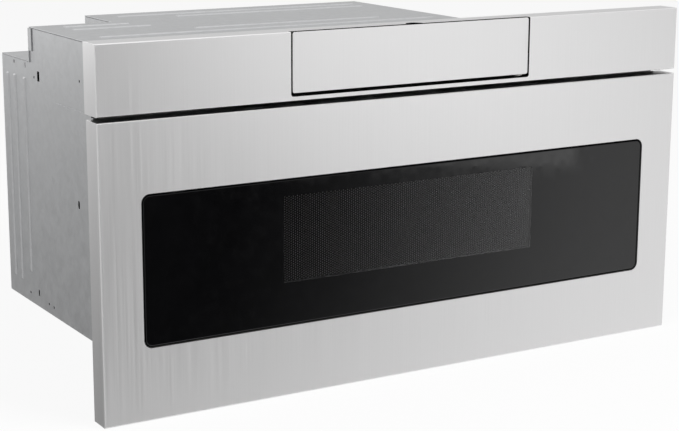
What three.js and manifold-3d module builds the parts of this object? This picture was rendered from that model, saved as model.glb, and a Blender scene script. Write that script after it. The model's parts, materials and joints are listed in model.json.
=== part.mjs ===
// A built-in microwave drawer: chassis, oven cavity, drawer on telescopic rails with a
// rack-and-pinion drive, and a control panel that tilts out of the fascia.
// Millimetres, +Z up, +X right, the front faces -Y. z = 0 is the underside, x = 0 the middle.
// Inside the fromFront group y is the distance behind the front face; the exported group
// stands that on the middle of the overall depth.
import * as THREE from "three";
import { mergeVertices } from "three/addons/utils/BufferGeometryUtils.js";
import Module from "manifold-3d";

const wasm = await Module();
wasm.setup();

// ---------------------------------------------------------------- driving dimensions
const SHEET = 1.2; // sheet steel
const GAP = 0.3; // clearance between pieces that touch

const FRONT_W = 759; // fascia and drawer front
const FASCIA_H = 74;
const REVEAL = 5.5; // open line between fascia and drawer front
const DRAWER_FRONT_H = 321;
const DRAWER_FRONT_DEPTH = 29;
const DRAWER_STANDOFF = 3; // the drawer front's back stays this far ahead of the fascia's
const FLOOR_GAP = 0.5; // under the drawer front
const EDGE = 1; // small bend radius on the front's edges, made as a chamfer

const CHASSIS_W = 539;
const CHASSIS_DROP = 34; // its top below the top of the fascia
const OVERALL_DEPTH = 583;
const BASE_LIP = 16;
const BEAD_W = 8;
const BEAD_H = 1.6;
const SINK = 0.2; // how far a raised form reaches into its sheet
const FRAME_W = 740; // front frame with its fastening flanges
const FRAME_SILL = 3; // frame's lower edge above the underside
const FRAME_CLEARANCE = 4; // round what passes through the frame
const FRAME_SCREW_EDGE = 8;
const FRAME_SCREW_Z = [60, 332];
const FRAME_SCREW_R = 2.6;
const FLANGE_START = 3.5; // beside the chassis
const VENTS = 5; // each side
const VENT_START = 52;
const VENT_PITCH = 32;
const VENT_W = 24;
const VENT_H = 12;
const VENT_DROP = 43;

const NOTCH_W = 114; // stepped corner at the rear left
const NOTCH_DEPTH = 103;
const NOTCH_H = 44;
const NOTCH_TAB_W = 11;
const NOTCH_TAB_H = 28.5;
const UPPER_REAR_SETBACK = 10; // rear wall above the step, ahead of the rear cover

const FIELD_FRONT = 26; // raised field of a side panel, from its front edge
const FIELD_DROP = 7;
const FIELD_CORNER = 47;
const FIELD_SMALL_CORNER = 8;
const FIELD_RISE = 0.8;
const SIDE_BEAD_DROP = 23; // below the step
const SIDE_BEADS = [
  { fromRear: 20.5, bottom: 24 },
  { fromRear: 45.5, bottom: 24 },
  { fromRear: 80.5, bottom: 42 },
];
const SIDE_OVAL = { fromRear: 257, rise: 81, w: 5, h: 10 };
const SIDE_SLOTS = [
  { fromRear: 131.2, w: 7.5, top: 313, h: 12.5 },
  { fromRear: 107.2, w: 3.5, top: 23, h: 8 },
  { fromRear: 142.2, w: 3, top: 13.5, h: 3 },
  { fromRear: 159, w: 3, top: 13, h: 3 },
  { fromRear: 267.5, w: 3, top: 319, h: 3 },
  { fromRear: 116.2, w: 3, top: 305.5, h: 3 },
  { fromRear: 85.5, w: 1.6, top: 319.5, h: 6.5 },
  { fromRear: 44.9, w: 3, top: 318.5, h: 4 },
  { fromRear: 76, w: 3, top: 14.2, h: 3 },
];
const TOP_BEADS = [
  { fromLeft: 34.2, length: 105.3, fromRear: 167 },
  { fromLeft: 35.5, length: 89, fromRear: 133 },
  { fromLeft: 32.5, fromRight: 28.5, fromRear: 257 },
  { fromRight: 89.8, length: 273.1, fromRear: 220 },
  { fromRight: 30, length: 291, fromRear: 80 },
  { fromRight: 26.5, length: 367, fromRear: 48 },
  { fromLeft: 32.5, fromRight: 28.5, fromRear: 463 },
  { fromLeft: 32.5, fromRight: 28.5, fromRear: 363 },
];

const GRILLE_CLEARANCE = 0.9; // above the drawer front
const GRILLE_DEPTH = 8;
const GRILLE_RIM = 0.9;
const GRILLE_SLOTS = 9;
const GRILLE_PITCH = 46;
const GRILLE_SLOT_W = 36;
const GRILLE_END = 28;

const GLAND_BORE_R = 4;
const GLAND_THREAD_R = 7.6;
const GLAND_NUT_R = 12;
const GLAND_GRIP = 9; // inside the wall
const AIR_SLOTS = 14;
const AIR_SLOT_PITCH = 8;
const AIR_SLOT_W = 3.5;

const WINDOW_W = 666;
const WINDOW_H = 164.8;
const WINDOW_SILL = 79.5; // above the underside
const WINDOW_R = 9.5;
const GLASS_T = 4.7;
const GLASS_SETBACK = 0.6;
const GLASS_GAP = 1; // dark line round the glass
const GASKET_W = 8;

const CONTROL_OPENING_W = 314.2;
const CONTROL_OPENING_SILL = 5; // strip of fascia under the control panel
const CONTROL_OPENING_R = 3;
const CONTROL_FACE_R = 2.5;
const CONTROL_SIDE_GAP = 1.9;
const CONTROL_BOTTOM_GAP = 3.6;
const TOP_SLOT_DEPTH = 7; // open line in the fascia's top, behind the control panel
const FINGER_NOTCH_X = 3.5; // a little right of the middle
const FINGER_NOTCH_R = 11;
const FINGER_NOTCH_DEPTH = 11.5;
const TILT_SETBACK = 10; // pivot behind the front face
const TILT_RISE = 12; // pivot above the control panel's lower edge
const SLOPE_ANGLE = THREE.MathUtils.degToRad(33.7); // keypad from the vertical
const KEYPAD_T = 2.5;
const KEYPAD_LENGTH = 45;
const KEYPAD_DROP = 2.4; // its top below the face's top
const HOUSING_WALL = 2;
const HOUSING_LIP = 7;
const BOARD_DROP = 2.2;
const DISPLAY_W = 60;

const TUB_W = 440; // inner
const TUB_SIDE_CLEARANCE = 6; // inside of the tub to inside of the cavity
const TUB_REAR_CLEARANCE = 12;
const TUB_FREEBOARD = 43; // cavity ceiling above the tub's walls
const CAVITY_FLOOR = 84;
const CEILING_DROP = 33.5; // cavity ceiling below the drawer front's top
const REAR_BAY_DEPTH = 143.2; // behind the cavity
const CERAMIC_T = 5;
const CERAMIC_RISE = 18.3; // cooking surface above the cavity's floor
const CERAMIC_LEDGE = 15;
const CHOKE_FLANGE = 22; // above and below the cavity's mouth
const CHOKE_SIDE = 31; // beside the tub's inside
const TUB_SLIP = 0.8; // tub inside the choke frame
const SCREEN_GAP = 0.3; // behind the glass

const RAIL_H = 49;
const RAIL_BOTTOM = 50;
const RAIL_T = 11.5; // whole slide, across
const RAIL_SHEET = 1.3;
const RAIL_NEST = 0.7; // clearance from member to member
const RAIL_REAR_SPACE = 83; // behind the outer member
const RAIL_SETBACK = 20; // rear end of the middle member ahead of the outer one's
const INNER_RAIL_SETBACK = 30;

const RACK_MODULE = 2;
const PINION_TEETH = 14;
const RACK_X = 150;
const RACK_W = 10;
const RACK_PITCH_Z = 40;
const RACK_BODY_H = 12; // above the pitch line
const RACK_PLAIN_END = 33; // before its first tooth
const PINION_SETBACK = 41.2; // behind the front frame's rear face
const PINION_INSET = 0.5; // narrower than the rack on each side
const DRIVE_SHAFT_R = 4;

const TILT_MODULE = 1;
const SECTOR_TEETH = 28; // on the full circle
const TILT_PINION_TEETH = 12;
const SECTOR_TEETH_BELOW = 9; // below its middle tooth, and above it
const SECTOR_TEETH_ABOVE = 1;
const SECTOR_X0 = 144.5;
const SECTOR_W = 5.2;
const TILT_SHAFT_R = 2;
const TILT_GEARBOX_GAP = 1.8;
const TILT_GEARBOX_W = 8.5;
const TILT_GEARBOX_H = 19;
const TILT_DOOR_CLEARANCE = 1.5;
const TILT_MOTOR = { reach: 28, r: 9.3, length: 26, ear: 5 };
const PIN_R = 3;
const PIN_END = 167;
const BRACKET_X = 163;
const BRACKET_T = 2;
const BRACKET_H = 20;
const BRACKET_FOOT = 13;
const RUNNING = 0.3; // radial clearance of a shaft in its bore
const PRESSURE = THREE.MathUtils.degToRad(20);
const BACKLASH = 0.3; // taken off each tooth's thickness at the pitch line
const SHAFT_GRIP = 8; // length of a shaft in its motor

const DRIVE_MOTOR = { clearance: 2, gearboxW: 12, h: 48, front: 17, back: 41, motorR: 17, motorL: 50 };

const STIRRER_SETBACK = 181; // behind the cavity's mouth
const STIRRER_R = 70;
const STIRRER_HOLE_R = 30;
const STIRRER_SHAFT_R = 3;
const STIRRER_RISE = 3; // above the cavity's floor
const STIRRER_BLADE_W = 22;
const STIRRER_MOTOR = { r: 22, h: 25.7, foot: 10 };
const WAVEGUIDE_W = 92;
const WAVEGUIDE_BOTTOM = 40;
const MAGNETRON_FROM_REAR = 60;
const FAN_X = 140;
const FAN_Z = 110;
const FAN_BORE_R = 56;
const FAN_TIP_GAP = 4;
const FAN_FRAME = 6; // bore to the outside of the housing
const FAN_DEPTH = 35.5;
const FAN_SHAFT_R = 3;
const FAN_HUB_R = 19;
const FAN_BLADES = 7;
const FAN_BLADE_W = 22;
const FAN_PITCH_DEG = 38;
const FAN_MOTOR = { r: 23, length: 45, arm: 4, armW: 12 };

const MAGNETRON = {
  d: 82,
  h: 70,
  plate: 2.5,
  anodeR: 19,
  antennaR: 8,
  antennaL: 24,
  filterW: 60,
  filterH: 32,
  fins: 6,
};
const TRANSFORMER = { x: -180, fromRear: 64, w: 110, d: 50, h: 84, leg: 17, coil: 18 };
const CAPACITOR = { x: -86, fromRear: 85, w: 52, d: 32, h: 92, terminal: 12 };
const LAMP_INSET = 76; // from the cavity's left wall
const LAMP_FROM_REAR = 60;
const LAMP_R = 11;
const LAMP_H = 36;
const DUCT = { x: 44, w: 170, h: 38.5, fromRear: 10 };
const POWER_BOARD = { x: -200, setback: 36, w: 160, d: 220, standoff: 10, tall: 30 };
const FILTER_BOARD = { w: 84, d: 74, fromRear: 53, standoff: 15.4, tall: 22 };
const SWITCH = { reach: 11, d: 30, below: 16 };

const STRIKER_INSET = 11.5; // from the chassis's side
const STRIKER_Z = 204;
const STRIKER_LENGTH = 27.7;
const STRIKER_W = 5;
const STRIKER_H = 12;
const SWITCH_SETBACK = 6; // switch body behind the striker's end
const PLUNGER_R = 2.5;
const PLUNGER_TRAVEL = 1.5;
const PLUNGER_LENGTH = 16.1;

// ---------------------------------------------------------------- derived places
const FASCIA_BOTTOM = FLOOR_GAP + DRAWER_FRONT_H + REVEAL;
const FRONT_TOP = FASCIA_BOTTOM + FASCIA_H;
const FASCIA_DEPTH = DRAWER_FRONT_DEPTH + DRAWER_STANDOFF;
const CHASSIS_H = FRONT_TOP - CHASSIS_DROP;
const FRAME_Y = FASCIA_DEPTH + GAP;
const FRAME_BACK = FRAME_Y + SHEET;
const INSIDE_Y = FRAME_BACK + GAP; // everything behind the frame starts here
const SIDE_X = CHASSIS_W / 2; // outer face of a side panel
const SIDE_INNER_X = SIDE_X - SHEET;
const REAR_INNER_Y = OVERALL_DEPTH - SHEET;
const NOTCH_Y = OVERALL_DEPTH - NOTCH_DEPTH;
const NOTCH_X = -SIDE_X + NOTCH_W;
const NOTCH_FLOOR = CHASSIS_H - NOTCH_H;
const UPPER_REAR_Y = OVERALL_DEPTH - UPPER_REAR_SETBACK;
const CAVITY_BACK = OVERALL_DEPTH - REAR_BAY_DEPTH;
const CAVITY_CEILING = FLOOR_GAP + DRAWER_FRONT_H - CEILING_DROP;
const CAVITY_W = TUB_W + 2 * TUB_SIDE_CLEARANCE;
const ON_CAVITY = CAVITY_CEILING + SHEET + GAP; // what stands on the cavity starts here
const ON_BASE = SHEET + GAP;
const CHOKE_W = TUB_W + 2 * CHOKE_SIDE;
const CHOKE_BOTTOM = CAVITY_FLOOR - CHOKE_FLANGE;
const CHOKE_TOP = CAVITY_CEILING + CHOKE_FLANGE;
const GLASS_BACK = GLASS_SETBACK + GLASS_T;
const SCREEN_Y = GLASS_BACK + SCREEN_GAP;
const TUB_Y = SCREEN_Y + SHEET + GAP;
const TUB_OUTER_X = TUB_W / 2 + SHEET;
const TUB_BACK = CAVITY_BACK - TUB_REAR_CLEARANCE;
const CERAMIC_TOP = CAVITY_FLOOR + CERAMIC_RISE;
const TUB_FLOOR = CERAMIC_TOP - CERAMIC_T - GAP; // top of the ledge under the ceramic
const TUB_WALL_TOP = CAVITY_CEILING - TUB_FREEBOARD;
const CONTROL_SILL = FASCIA_BOTTOM + CONTROL_OPENING_SILL;
const CONTROL_BOTTOM = CONTROL_SILL + CONTROL_BOTTOM_GAP;
const CONTROL_TOP = FRONT_TOP - GAP;
const CONTROL_HALF_W = CONTROL_OPENING_W / 2 - CONTROL_SIDE_GAP;
const TILT_Y = TILT_SETBACK;
const TILT_Z = CONTROL_BOTTOM + TILT_RISE;
const SECTOR_R = (TILT_MODULE * SECTOR_TEETH) / 2;
const TILT_PINION_R = (TILT_MODULE * TILT_PINION_TEETH) / 2;
const TILT_PINION_Y = TILT_Y + SECTOR_R + TILT_PINION_R;
const PINION_Y = INSIDE_Y + PINION_SETBACK;
const PINION_R = (RACK_MODULE * PINION_TEETH) / 2;
const PINION_Z = RACK_PITCH_Z - PINION_R;
const RACK_PITCH = Math.PI * RACK_MODULE;
const STIRRER_Y = INSIDE_Y + STIRRER_SETBACK;
const MAGNETRON_Y = OVERALL_DEPTH - MAGNETRON_FROM_REAR;
const WAVEGUIDE_TOP = CAVITY_FLOOR - SHEET - GAP;
const RAIL_TOP = RAIL_BOTTOM + RAIL_H;
const STRIKER_X = SIDE_X - STRIKER_INSET;
const STRIKER_END = DRAWER_FRONT_DEPTH + GAP + STRIKER_LENGTH;
const OUTER_RAIL_X = SIDE_INNER_X - GAP;
const RAIL_MOUTH_X = OUTER_RAIL_X - RAIL_T;

// ---------------------------------------------------------------- materials
const finish = (color, metalness, roughness) =>
  new THREE.MeshStandardMaterial({ color, metalness, roughness });
const STAINLESS = finish(0xc4c5c6, 0.9, 0.35);
const GALVANISED = finish(0xa9acae, 0.85, 0.45);
const BLACK_GLASS = finish(0x0b0c0d, 0.0, 0.08);
const BLACK_PLASTIC = finish(0x1b1c1d, 0.0, 0.5);
const GREY_PLASTIC = finish(0x6f7376, 0.0, 0.5);
const WHITE_PLASTIC = finish(0xe4e2da, 0.0, 0.45);
const SCREEN_STEEL = finish(0x2c2d2e, 0.6, 0.5);
const ENAMEL = finish(0xb9bab6, 0.2, 0.4);
const CERAMIC = finish(0xd8d6cc, 0.0, 0.3);
const RUBBER = finish(0x101010, 0.0, 0.8);
const ALUMINIUM = finish(0xb8bbbd, 0.9, 0.4);
const DARK_STEEL = finish(0x55585a, 0.8, 0.5);
const BOARD = finish(0x2f6b3c, 0.0, 0.5);

// ---------------------------------------------------------------- geometry helpers
// A closed geometry as a solid, with its shared vertices merged.
function solid(geometry) {
  const bare = new THREE.BufferGeometry();
  bare.setAttribute("position", geometry.getAttribute("position"));
  if (geometry.index) bare.setIndex(geometry.index);
  const merged = mergeVertices(bare, 1e-4);
  return new wasm.Manifold(
    new wasm.Mesh({
      numProp: 3,
      vertProperties: merged.attributes.position.array,
      triVerts: new Uint32Array(merged.index.array),
    }),
  );
}

function geometryOf(body) {
  const mesh = body.getMesh();
  const geometry = new THREE.BufferGeometry();
  geometry.setAttribute("position", new THREE.BufferAttribute(mesh.vertProperties, 3));
  geometry.setIndex(new THREE.BufferAttribute(mesh.triVerts, 1));
  geometry.computeVertexNormals();
  return geometry;
}

const join = (...bodies) => bodies.reduce((whole, body) => whole.add(body));
const cut = (whole, ...tools) => tools.reduce((rest, tool) => rest.subtract(tool), whole);

// A box between two corners, given as pairs in x, y and z in either order.
function block([x0, x1], [y0, y1], [z0, z1]) {
  const size = [Math.abs(x1 - x0), Math.abs(y1 - y0), Math.abs(z1 - z0)];
  const geometry = new THREE.BoxGeometry(...size);
  geometry.translate((x0 + x1) / 2, (y0 + y1) / 2, (z0 + z1) / 2);
  return solid(geometry);
}

// The three ways a drawn outline is pushed into a solid: its drawing axes and its depth.
const ALONG_X = [new THREE.Vector3(0, 1, 0), new THREE.Vector3(0, 0, 1), new THREE.Vector3(1, 0, 0)];
const ALONG_Z = [new THREE.Vector3(1, 0, 0), new THREE.Vector3(0, 1, 0), new THREE.Vector3(0, 0, 1)];
const BACK_ALONG_Y = [
  new THREE.Vector3(1, 0, 0),
  new THREE.Vector3(0, 0, 1),
  new THREE.Vector3(0, -1, 0),
];

function prism(points, axes, [from, to], chamfer = 0) {
  const geometry = new THREE.ExtrudeGeometry(new THREE.Shape(points), {
    depth: to - from - 2 * chamfer,
    bevelEnabled: chamfer > 0,
    bevelThickness: chamfer,
    bevelSize: chamfer,
    bevelOffset: -chamfer,
    bevelSegments: 1,
  });
  geometry.translate(0, 0, from + chamfer);
  geometry.applyMatrix4(new THREE.Matrix4().makeBasis(...axes));
  return solid(geometry);
}

const ARC_STEPS = 4;

function extrude(shape, axes, [from, to], chamfer) {
  const body = prism(shape.getPoints(ARC_STEPS), axes, [from, to], chamfer);
  const holes = shape.holes.map((outline) =>
    prism(outline.getPoints(ARC_STEPS), axes, [from - 1, to + 1]),
  );
  return cut(body, ...holes);
}

// An outline in y and z, between two places in x.
const acrossX = (shape, [x0, x1], chamfer) =>
  extrude(shape, ALONG_X, [Math.min(x0, x1), Math.max(x0, x1)], chamfer);
// An outline in x and z, from y0 back to y1.
const acrossY = (shape, [y0, y1], chamfer) => extrude(shape, BACK_ALONG_Y, [-y1, -y0], chamfer);
// An outline in x and y, from z0 up to z1.
const acrossZ = (shape, z, chamfer) => extrude(shape, ALONG_Z, z, chamfer);

function polygon(points) {
  return new THREE.Shape(points.map(([a, b]) => new THREE.Vector2(a, b)));
}

function roundedRect([a0, a1], [b0, b1], r) {
  const shape = new THREE.Shape();
  shape.moveTo(a0 + r, b0);
  shape.lineTo(a1 - r, b0);
  shape.absarc(a1 - r, b0 + r, r, -Math.PI / 2, 0);
  shape.absarc(a1 - r, b1 - r, r, 0, Math.PI / 2);
  shape.absarc(a0 + r, b1 - r, r, Math.PI / 2, Math.PI);
  shape.absarc(a0 + r, b0 + r, r, Math.PI, 1.5 * Math.PI);
  return shape;
}

const rect = (a, b) => polygon([[a[0], b[0]], [a[1], b[0]], [a[1], b[1]], [a[0], b[1]]]);
const mirrored = (half) => [-half, half];
const grown = ([a, b], by) => [a - by, b + by];

function punch(shape, ...holes) {
  shape.holes.push(...holes);
  return shape;
}

function hole(a, b, r, sides = 12) {
  const points = Array.from({ length: sides }, (_, i) => {
    const angle = (i / sides) * 2 * Math.PI;
    return [a + r * Math.cos(angle), b + r * Math.sin(angle)];
  });
  return polygon(points);
}

// A round bar along an axis ("x", "y" or "z") through a centre, between two places on it.
function bar(axis, [u, v], r, [from, to], sides = 16) {
  const geometry = new THREE.CylinderGeometry(r, r, Math.abs(to - from), sides);
  const middle = (from + to) / 2;
  if (axis === "x") {
    geometry.rotateZ(Math.PI / 2);
    geometry.translate(middle, u, v);
  } else if (axis === "y") {
    geometry.translate(u, middle, v);
  } else {
    geometry.rotateX(Math.PI / 2);
    geometry.translate(u, v, middle);
  }
  return solid(geometry);
}

// Corners of one gear tooth, root to root, centred on an angle: involute flanks in three steps.
function toothPoints(module, teeth, centreAngle) {
  const pitchR = (module * teeth) / 2;
  const baseR = pitchR * Math.cos(PRESSURE);
  const tipR = pitchR + module;
  const rootR = pitchR - 1.25 * module;
  const involute = (r) => {
    const pressure = Math.acos(Math.min(1, baseR / r));
    return Math.tan(pressure) - pressure;
  };
  const halfAtPitch = Math.PI / (2 * teeth) - BACKLASH / (2 * pitchR);
  const halfAngle = (r) => halfAtPitch + involute(pitchR) - involute(Math.max(r, baseR));
  const radii = [Math.max(baseR, rootR), pitchR, (pitchR + tipR) / 2, tipR];
  const flank = radii.map((r) => [r, halfAngle(r)]);
  if (rootR < baseR) flank.unshift([rootR, halfAngle(baseR)]);
  const rising = flank.map(([r, half]) => [r, centreAngle - half]);
  const falling = [...flank].reverse().map(([r, half]) => [r, centreAngle + half]);
  return [...rising, ...falling].map(([r, a]) => [r * Math.cos(a), r * Math.sin(a)]);
}

const placed = (name, body, material) => {
  const mesh = new THREE.Mesh(geometryOf(body), material);
  mesh.name = name;
  return mesh;
};

// ---------------------------------------------------------------- fascia
function fasciaPanel() {
  const half = FRONT_W / 2;
  const opening = CONTROL_OPENING_W / 2;
  const outline = rect(mirrored(half), [FASCIA_BOTTOM, FRONT_TOP]);
  const inside = block(
    mirrored(half - SHEET),
    [SHEET, FASCIA_DEPTH + SHEET],
    [FASCIA_BOTTOM + SHEET, FRONT_TOP - SHEET],
  );
  const window = acrossY(
    roundedRect(mirrored(opening), [CONTROL_SILL, FRONT_TOP + FASCIA_H], CONTROL_OPENING_R),
    [-SHEET, TOP_SLOT_DEPTH],
  );
  const notch = new THREE.Shape();
  notch.absellipse(
    FINGER_NOTCH_X,
    TOP_SLOT_DEPTH - SHEET,
    FINGER_NOTCH_R,
    FINGER_NOTCH_DEPTH,
    0,
    Math.PI,
  );
  return cut(
    acrossY(outline, [0, FASCIA_DEPTH], EDGE),
    inside,
    window,
    acrossZ(notch, [FRONT_TOP - 2 * SHEET, FRONT_TOP + SHEET]),
  );
}

// The tilt drive reaches through the fascia back and the frame here.
const TILT_DOOR = {
  x: [SECTOR_X0 - TILT_DOOR_CLEARANCE, SECTOR_X0 + SECTOR_W + TILT_GEARBOX_W + 4.8],
  z: grown([TILT_Z - TILT_GEARBOX_H / 2, TILT_Z + TILT_GEARBOX_H / 2], TILT_DOOR_CLEARANCE),
};

function fasciaBack() {
  const inset = SHEET + GAP;
  const outline = rect(
    mirrored(FRONT_W / 2 - inset),
    [FASCIA_BOTTOM + inset, FRONT_TOP - inset],
  );
  punch(outline, rect(TILT_DOOR.x, TILT_DOOR.z));
  return acrossY(outline, [FASCIA_DEPTH - SHEET, FASCIA_DEPTH]);
}

function ventGrille() {
  const bottom = FASCIA_BOTTOM - REVEAL + GRILLE_CLEARANCE;
  const top = FASCIA_BOTTOM - GAP;
  const slot = [bottom + GRILLE_RIM, top - GRILLE_RIM];
  const half = (GRILLE_SLOTS * GRILLE_PITCH) / 2;
  const outline = rect(mirrored(half + GRILLE_END), [bottom, top]);
  for (let i = 0; i < GRILLE_SLOTS; i += 1) {
    const x = (i + 0.5) * GRILLE_PITCH - half;
    outline.holes.push(rect([x - GRILLE_SLOT_W / 2, x + GRILLE_SLOT_W / 2], slot));
  }
  return acrossY(outline, [FASCIA_DEPTH - GRILLE_DEPTH, FASCIA_DEPTH]);
}

// ---------------------------------------------------------------- chassis
function basePan() {
  const half = SIDE_INNER_X - GAP;
  const back = REAR_INNER_Y - GAP;
  return cut(
    block(mirrored(half), [INSIDE_Y, back], [0, BASE_LIP]),
    block(mirrored(half - SHEET), [INSIDE_Y + SHEET, back - SHEET], [SHEET, 2 * BASE_LIP]),
  );
}

// A pressed bead: a low ridge with sloping ends, cut off where it meets its sheet.
function beadOnTop({ fromLeft, fromRight, length, fromRear }) {
  const left = fromLeft === undefined ? SIDE_X - fromRight - length : fromLeft - SIDE_X;
  const right = fromRight === undefined ? left + length : SIDE_X - fromRight;
  const y = OVERALL_DEPTH - fromRear;
  const outline = rect([left, right], [y - BEAD_W / 2, y + BEAD_W / 2]);
  return acrossZ(outline, [CHASSIS_H - BEAD_H, CHASSIS_H + BEAD_H], BEAD_H);
}

function beadOnSide({ fromRear, bottom }, side) {
  const y = OVERALL_DEPTH - fromRear;
  const outline = rect([y - BEAD_W / 2, y + BEAD_W / 2], [bottom, NOTCH_FLOOR - SIDE_BEAD_DROP]);
  return acrossX(outline, [side * SIDE_X - BEAD_H, side * SIDE_X + BEAD_H], BEAD_H);
}

// The raised middle of a side panel, with one slanted corner.
function sideField() {
  const y = [INSIDE_Y + FIELD_FRONT, CAVITY_BACK - SHEET];
  const z = [CAVITY_FLOOR - SHEET, CAVITY_CEILING - FIELD_DROP];
  return polygon([
    [y[0], z[0]],
    [y[1] - FIELD_SMALL_CORNER, z[0]],
    [y[1], z[0] + FIELD_SMALL_CORNER],
    [y[1], z[1] - FIELD_CORNER],
    [y[1] - FIELD_CORNER, z[1]],
    [y[0], z[1]],
  ]);
}

function sidePanel(side) {
  const back = REAR_INNER_Y - GAP;
  const top = CHASSIS_H - SHEET - GAP;
  const step = NOTCH_FLOOR - SHEET - GAP;
  const upperBack = (side < 0 ? NOTCH_Y : UPPER_REAR_Y) - SHEET - GAP;
  const outline = polygon([
    [INSIDE_Y, 0],
    [back, 0],
    [back, step],
    [upperBack, step],
    [upperBack, top],
    [INSIDE_Y, top],
  ]);
  const oval = () => {
    const y = OVERALL_DEPTH - SIDE_OVAL.fromRear;
    const z = CAVITY_FLOOR + SIDE_OVAL.rise;
    const half = [SIDE_OVAL.w / 2, SIDE_OVAL.h / 2];
    return roundedRect([y - half[0], y + half[0]], [z - half[1], z + half[1]], SIDE_OVAL.w * 0.48);
  };
  const slot = ({ fromRear, w, top: z, h }) => {
    const y = OVERALL_DEPTH - fromRear;
    return rect([y - w / 2, y + w / 2], [z - h, z]);
  };
  punch(outline, oval(), ...SIDE_SLOTS.map(slot));
  const field = punch(sideField(), oval());
  const face = side * SIDE_X;
  const behindFace = block([0, side * (SIDE_X - SINK)], [0, OVERALL_DEPTH], [0, FRONT_TOP]);
  return join(
    acrossX(outline, [face, face - side * SHEET]),
    acrossX(field, [face - side * SINK, face + side * FIELD_RISE]),
    ...SIDE_BEADS.map((line) => cut(beadOnSide(line, side), behindFace)),
  );
}

function topCover() {
  const plan = polygon([
    [-SIDE_X, INSIDE_Y],
    [SIDE_X, INSIDE_Y],
    [SIDE_X, UPPER_REAR_Y],
    [NOTCH_X, UPPER_REAR_Y],
    [NOTCH_X, NOTCH_Y],
    [-SIDE_X, NOTCH_Y],
  ]);
  const rearFlange = block(
    [NOTCH_X + SHEET + GAP, SIDE_X],
    [UPPER_REAR_Y - SHEET, UPPER_REAR_Y],
    [NOTCH_FLOOR - SHEET, CHASSIS_H - SHEET / 2],
  );
  const under = block(mirrored(SIDE_X), [0, OVERALL_DEPTH], [0, CHASSIS_H - SINK]);
  return join(
    acrossZ(plan, [CHASSIS_H - SHEET, CHASSIS_H]),
    rearFlange,
    ...TOP_BEADS.map((line) => cut(beadOnTop(line), under)),
  );
}

const GLAND_X = NOTCH_X - NOTCH_W / 2;
const GLAND_Z = NOTCH_FLOOR + NOTCH_H / 2;

function notchCover() {
  const top = CHASSIS_H - SHEET - GAP;
  const outside = -SIDE_X - GAP;
  const frontWall = block(
    [outside - SHEET, NOTCH_X + SHEET],
    [NOTCH_Y - SHEET, NOTCH_Y],
    [NOTCH_FLOOR - SHEET, top],
  );
  const innerWall = block(
    [NOTCH_X, NOTCH_X + SHEET],
    [NOTCH_Y - SHEET, UPPER_REAR_Y - SHEET - GAP],
    [NOTCH_FLOOR - SHEET, top],
  );
  const floor = block(
    [-SIDE_X, NOTCH_X + SHEET],
    [NOTCH_Y - SHEET, OVERALL_DEPTH],
    [NOTCH_FLOOR - SHEET, NOTCH_FLOOR],
  );
  const tab = block(
    [outside - SHEET, outside],
    [NOTCH_Y - NOTCH_TAB_W, NOTCH_Y],
    [top - NOTCH_TAB_H, top],
  );
  const reach = [NOTCH_Y - 4 * SHEET, NOTCH_Y + 4 * SHEET];
  const gland = bar("y", [GLAND_X, GLAND_Z], GLAND_THREAD_R + GAP, reach, 16);
  return cut(join(frontWall, innerWall, floor, tab), gland);
}

function rearCover() {
  const top = NOTCH_FLOOR - SHEET - GAP;
  const outline = rect(mirrored(SIDE_X), [0, top]);
  const z = [FAN_Z - FAN_BORE_R + FAN_FRAME, FAN_Z + FAN_BORE_R - FAN_FRAME];
  for (let i = 0; i < AIR_SLOTS; i += 1) {
    const x = FAN_X + (i - (AIR_SLOTS - 1) / 2) * AIR_SLOT_PITCH;
    outline.holes.push(rect([x - AIR_SLOT_W / 2, x + AIR_SLOT_W / 2], z));
  }
  const lip = block(
    mirrored(SIDE_INNER_X - GAP),
    [UPPER_REAR_Y - SHEET, OVERALL_DEPTH - SHEET / 2],
    [top - SHEET, top],
  );
  return join(acrossY(outline, [REAR_INNER_Y, OVERALL_DEPTH]), lip);
}

// The flanges beside the chassis are pressed back a little: these are what meets the cabinet.
function frontFrame() {
  const outline = rect(mirrored(FRAME_W / 2), [FRAME_SILL, CHASSIS_H]);
  const rackSlot = {
    x: [RACK_X - FRAME_CLEARANCE, RACK_X + RACK_W + FRAME_CLEARANCE],
    z: [RACK_PITCH_Z - 3 * RACK_MODULE, RACK_PITCH_Z + RACK_BODY_H + FRAME_CLEARANCE],
  };
  punch(
    outline,
    rect(mirrored(CAVITY_W / 2), [CAVITY_FLOOR, CAVITY_CEILING]),
    rect(rackSlot.x, rackSlot.z),
    rect(TILT_DOOR.x, TILT_DOOR.z),
  );
  const ventZ = [CHASSIS_H - VENT_DROP - VENT_H, CHASSIS_H - VENT_DROP];
  const seats = [];
  for (const side of [-1, 1]) {
    const ordered = (a, b) => (side > 0 ? [a, b] : [-b, -a]);
    const screws = FRAME_SCREW_Z.map((z) =>
      hole(side * (FRAME_W / 2 - FRAME_SCREW_EDGE), z, FRAME_SCREW_R, 10),
    );
    outline.holes.push(
      rect(
        ordered(RAIL_MOUTH_X - FRAME_CLEARANCE, SIDE_INNER_X),
        [RAIL_BOTTOM - 1, RAIL_TOP + 1],
      ),
      rect(
        ordered(STRIKER_X - STRIKER_W, STRIKER_X + STRIKER_W),
        [STRIKER_Z - STRIKER_H + 2, STRIKER_Z + STRIKER_H - 2],
      ),
      ...screws,
    );
    for (let i = 0; i < VENTS; i += 1) {
      const x = VENT_START + i * VENT_PITCH;
      outline.holes.push(rect(ordered(x, x + VENT_W), ventZ));
    }
    const seat = rect(ordered(SIDE_X + FLANGE_START, FRAME_W / 2), [FRAME_SILL, CHASSIS_H]);
    seats.push(acrossY(punch(seat, ...screws), [FRAME_Y, INSIDE_Y]));
  }
  return join(acrossY(outline, [FRAME_Y, FRAME_BACK]), ...seats);
}

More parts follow.
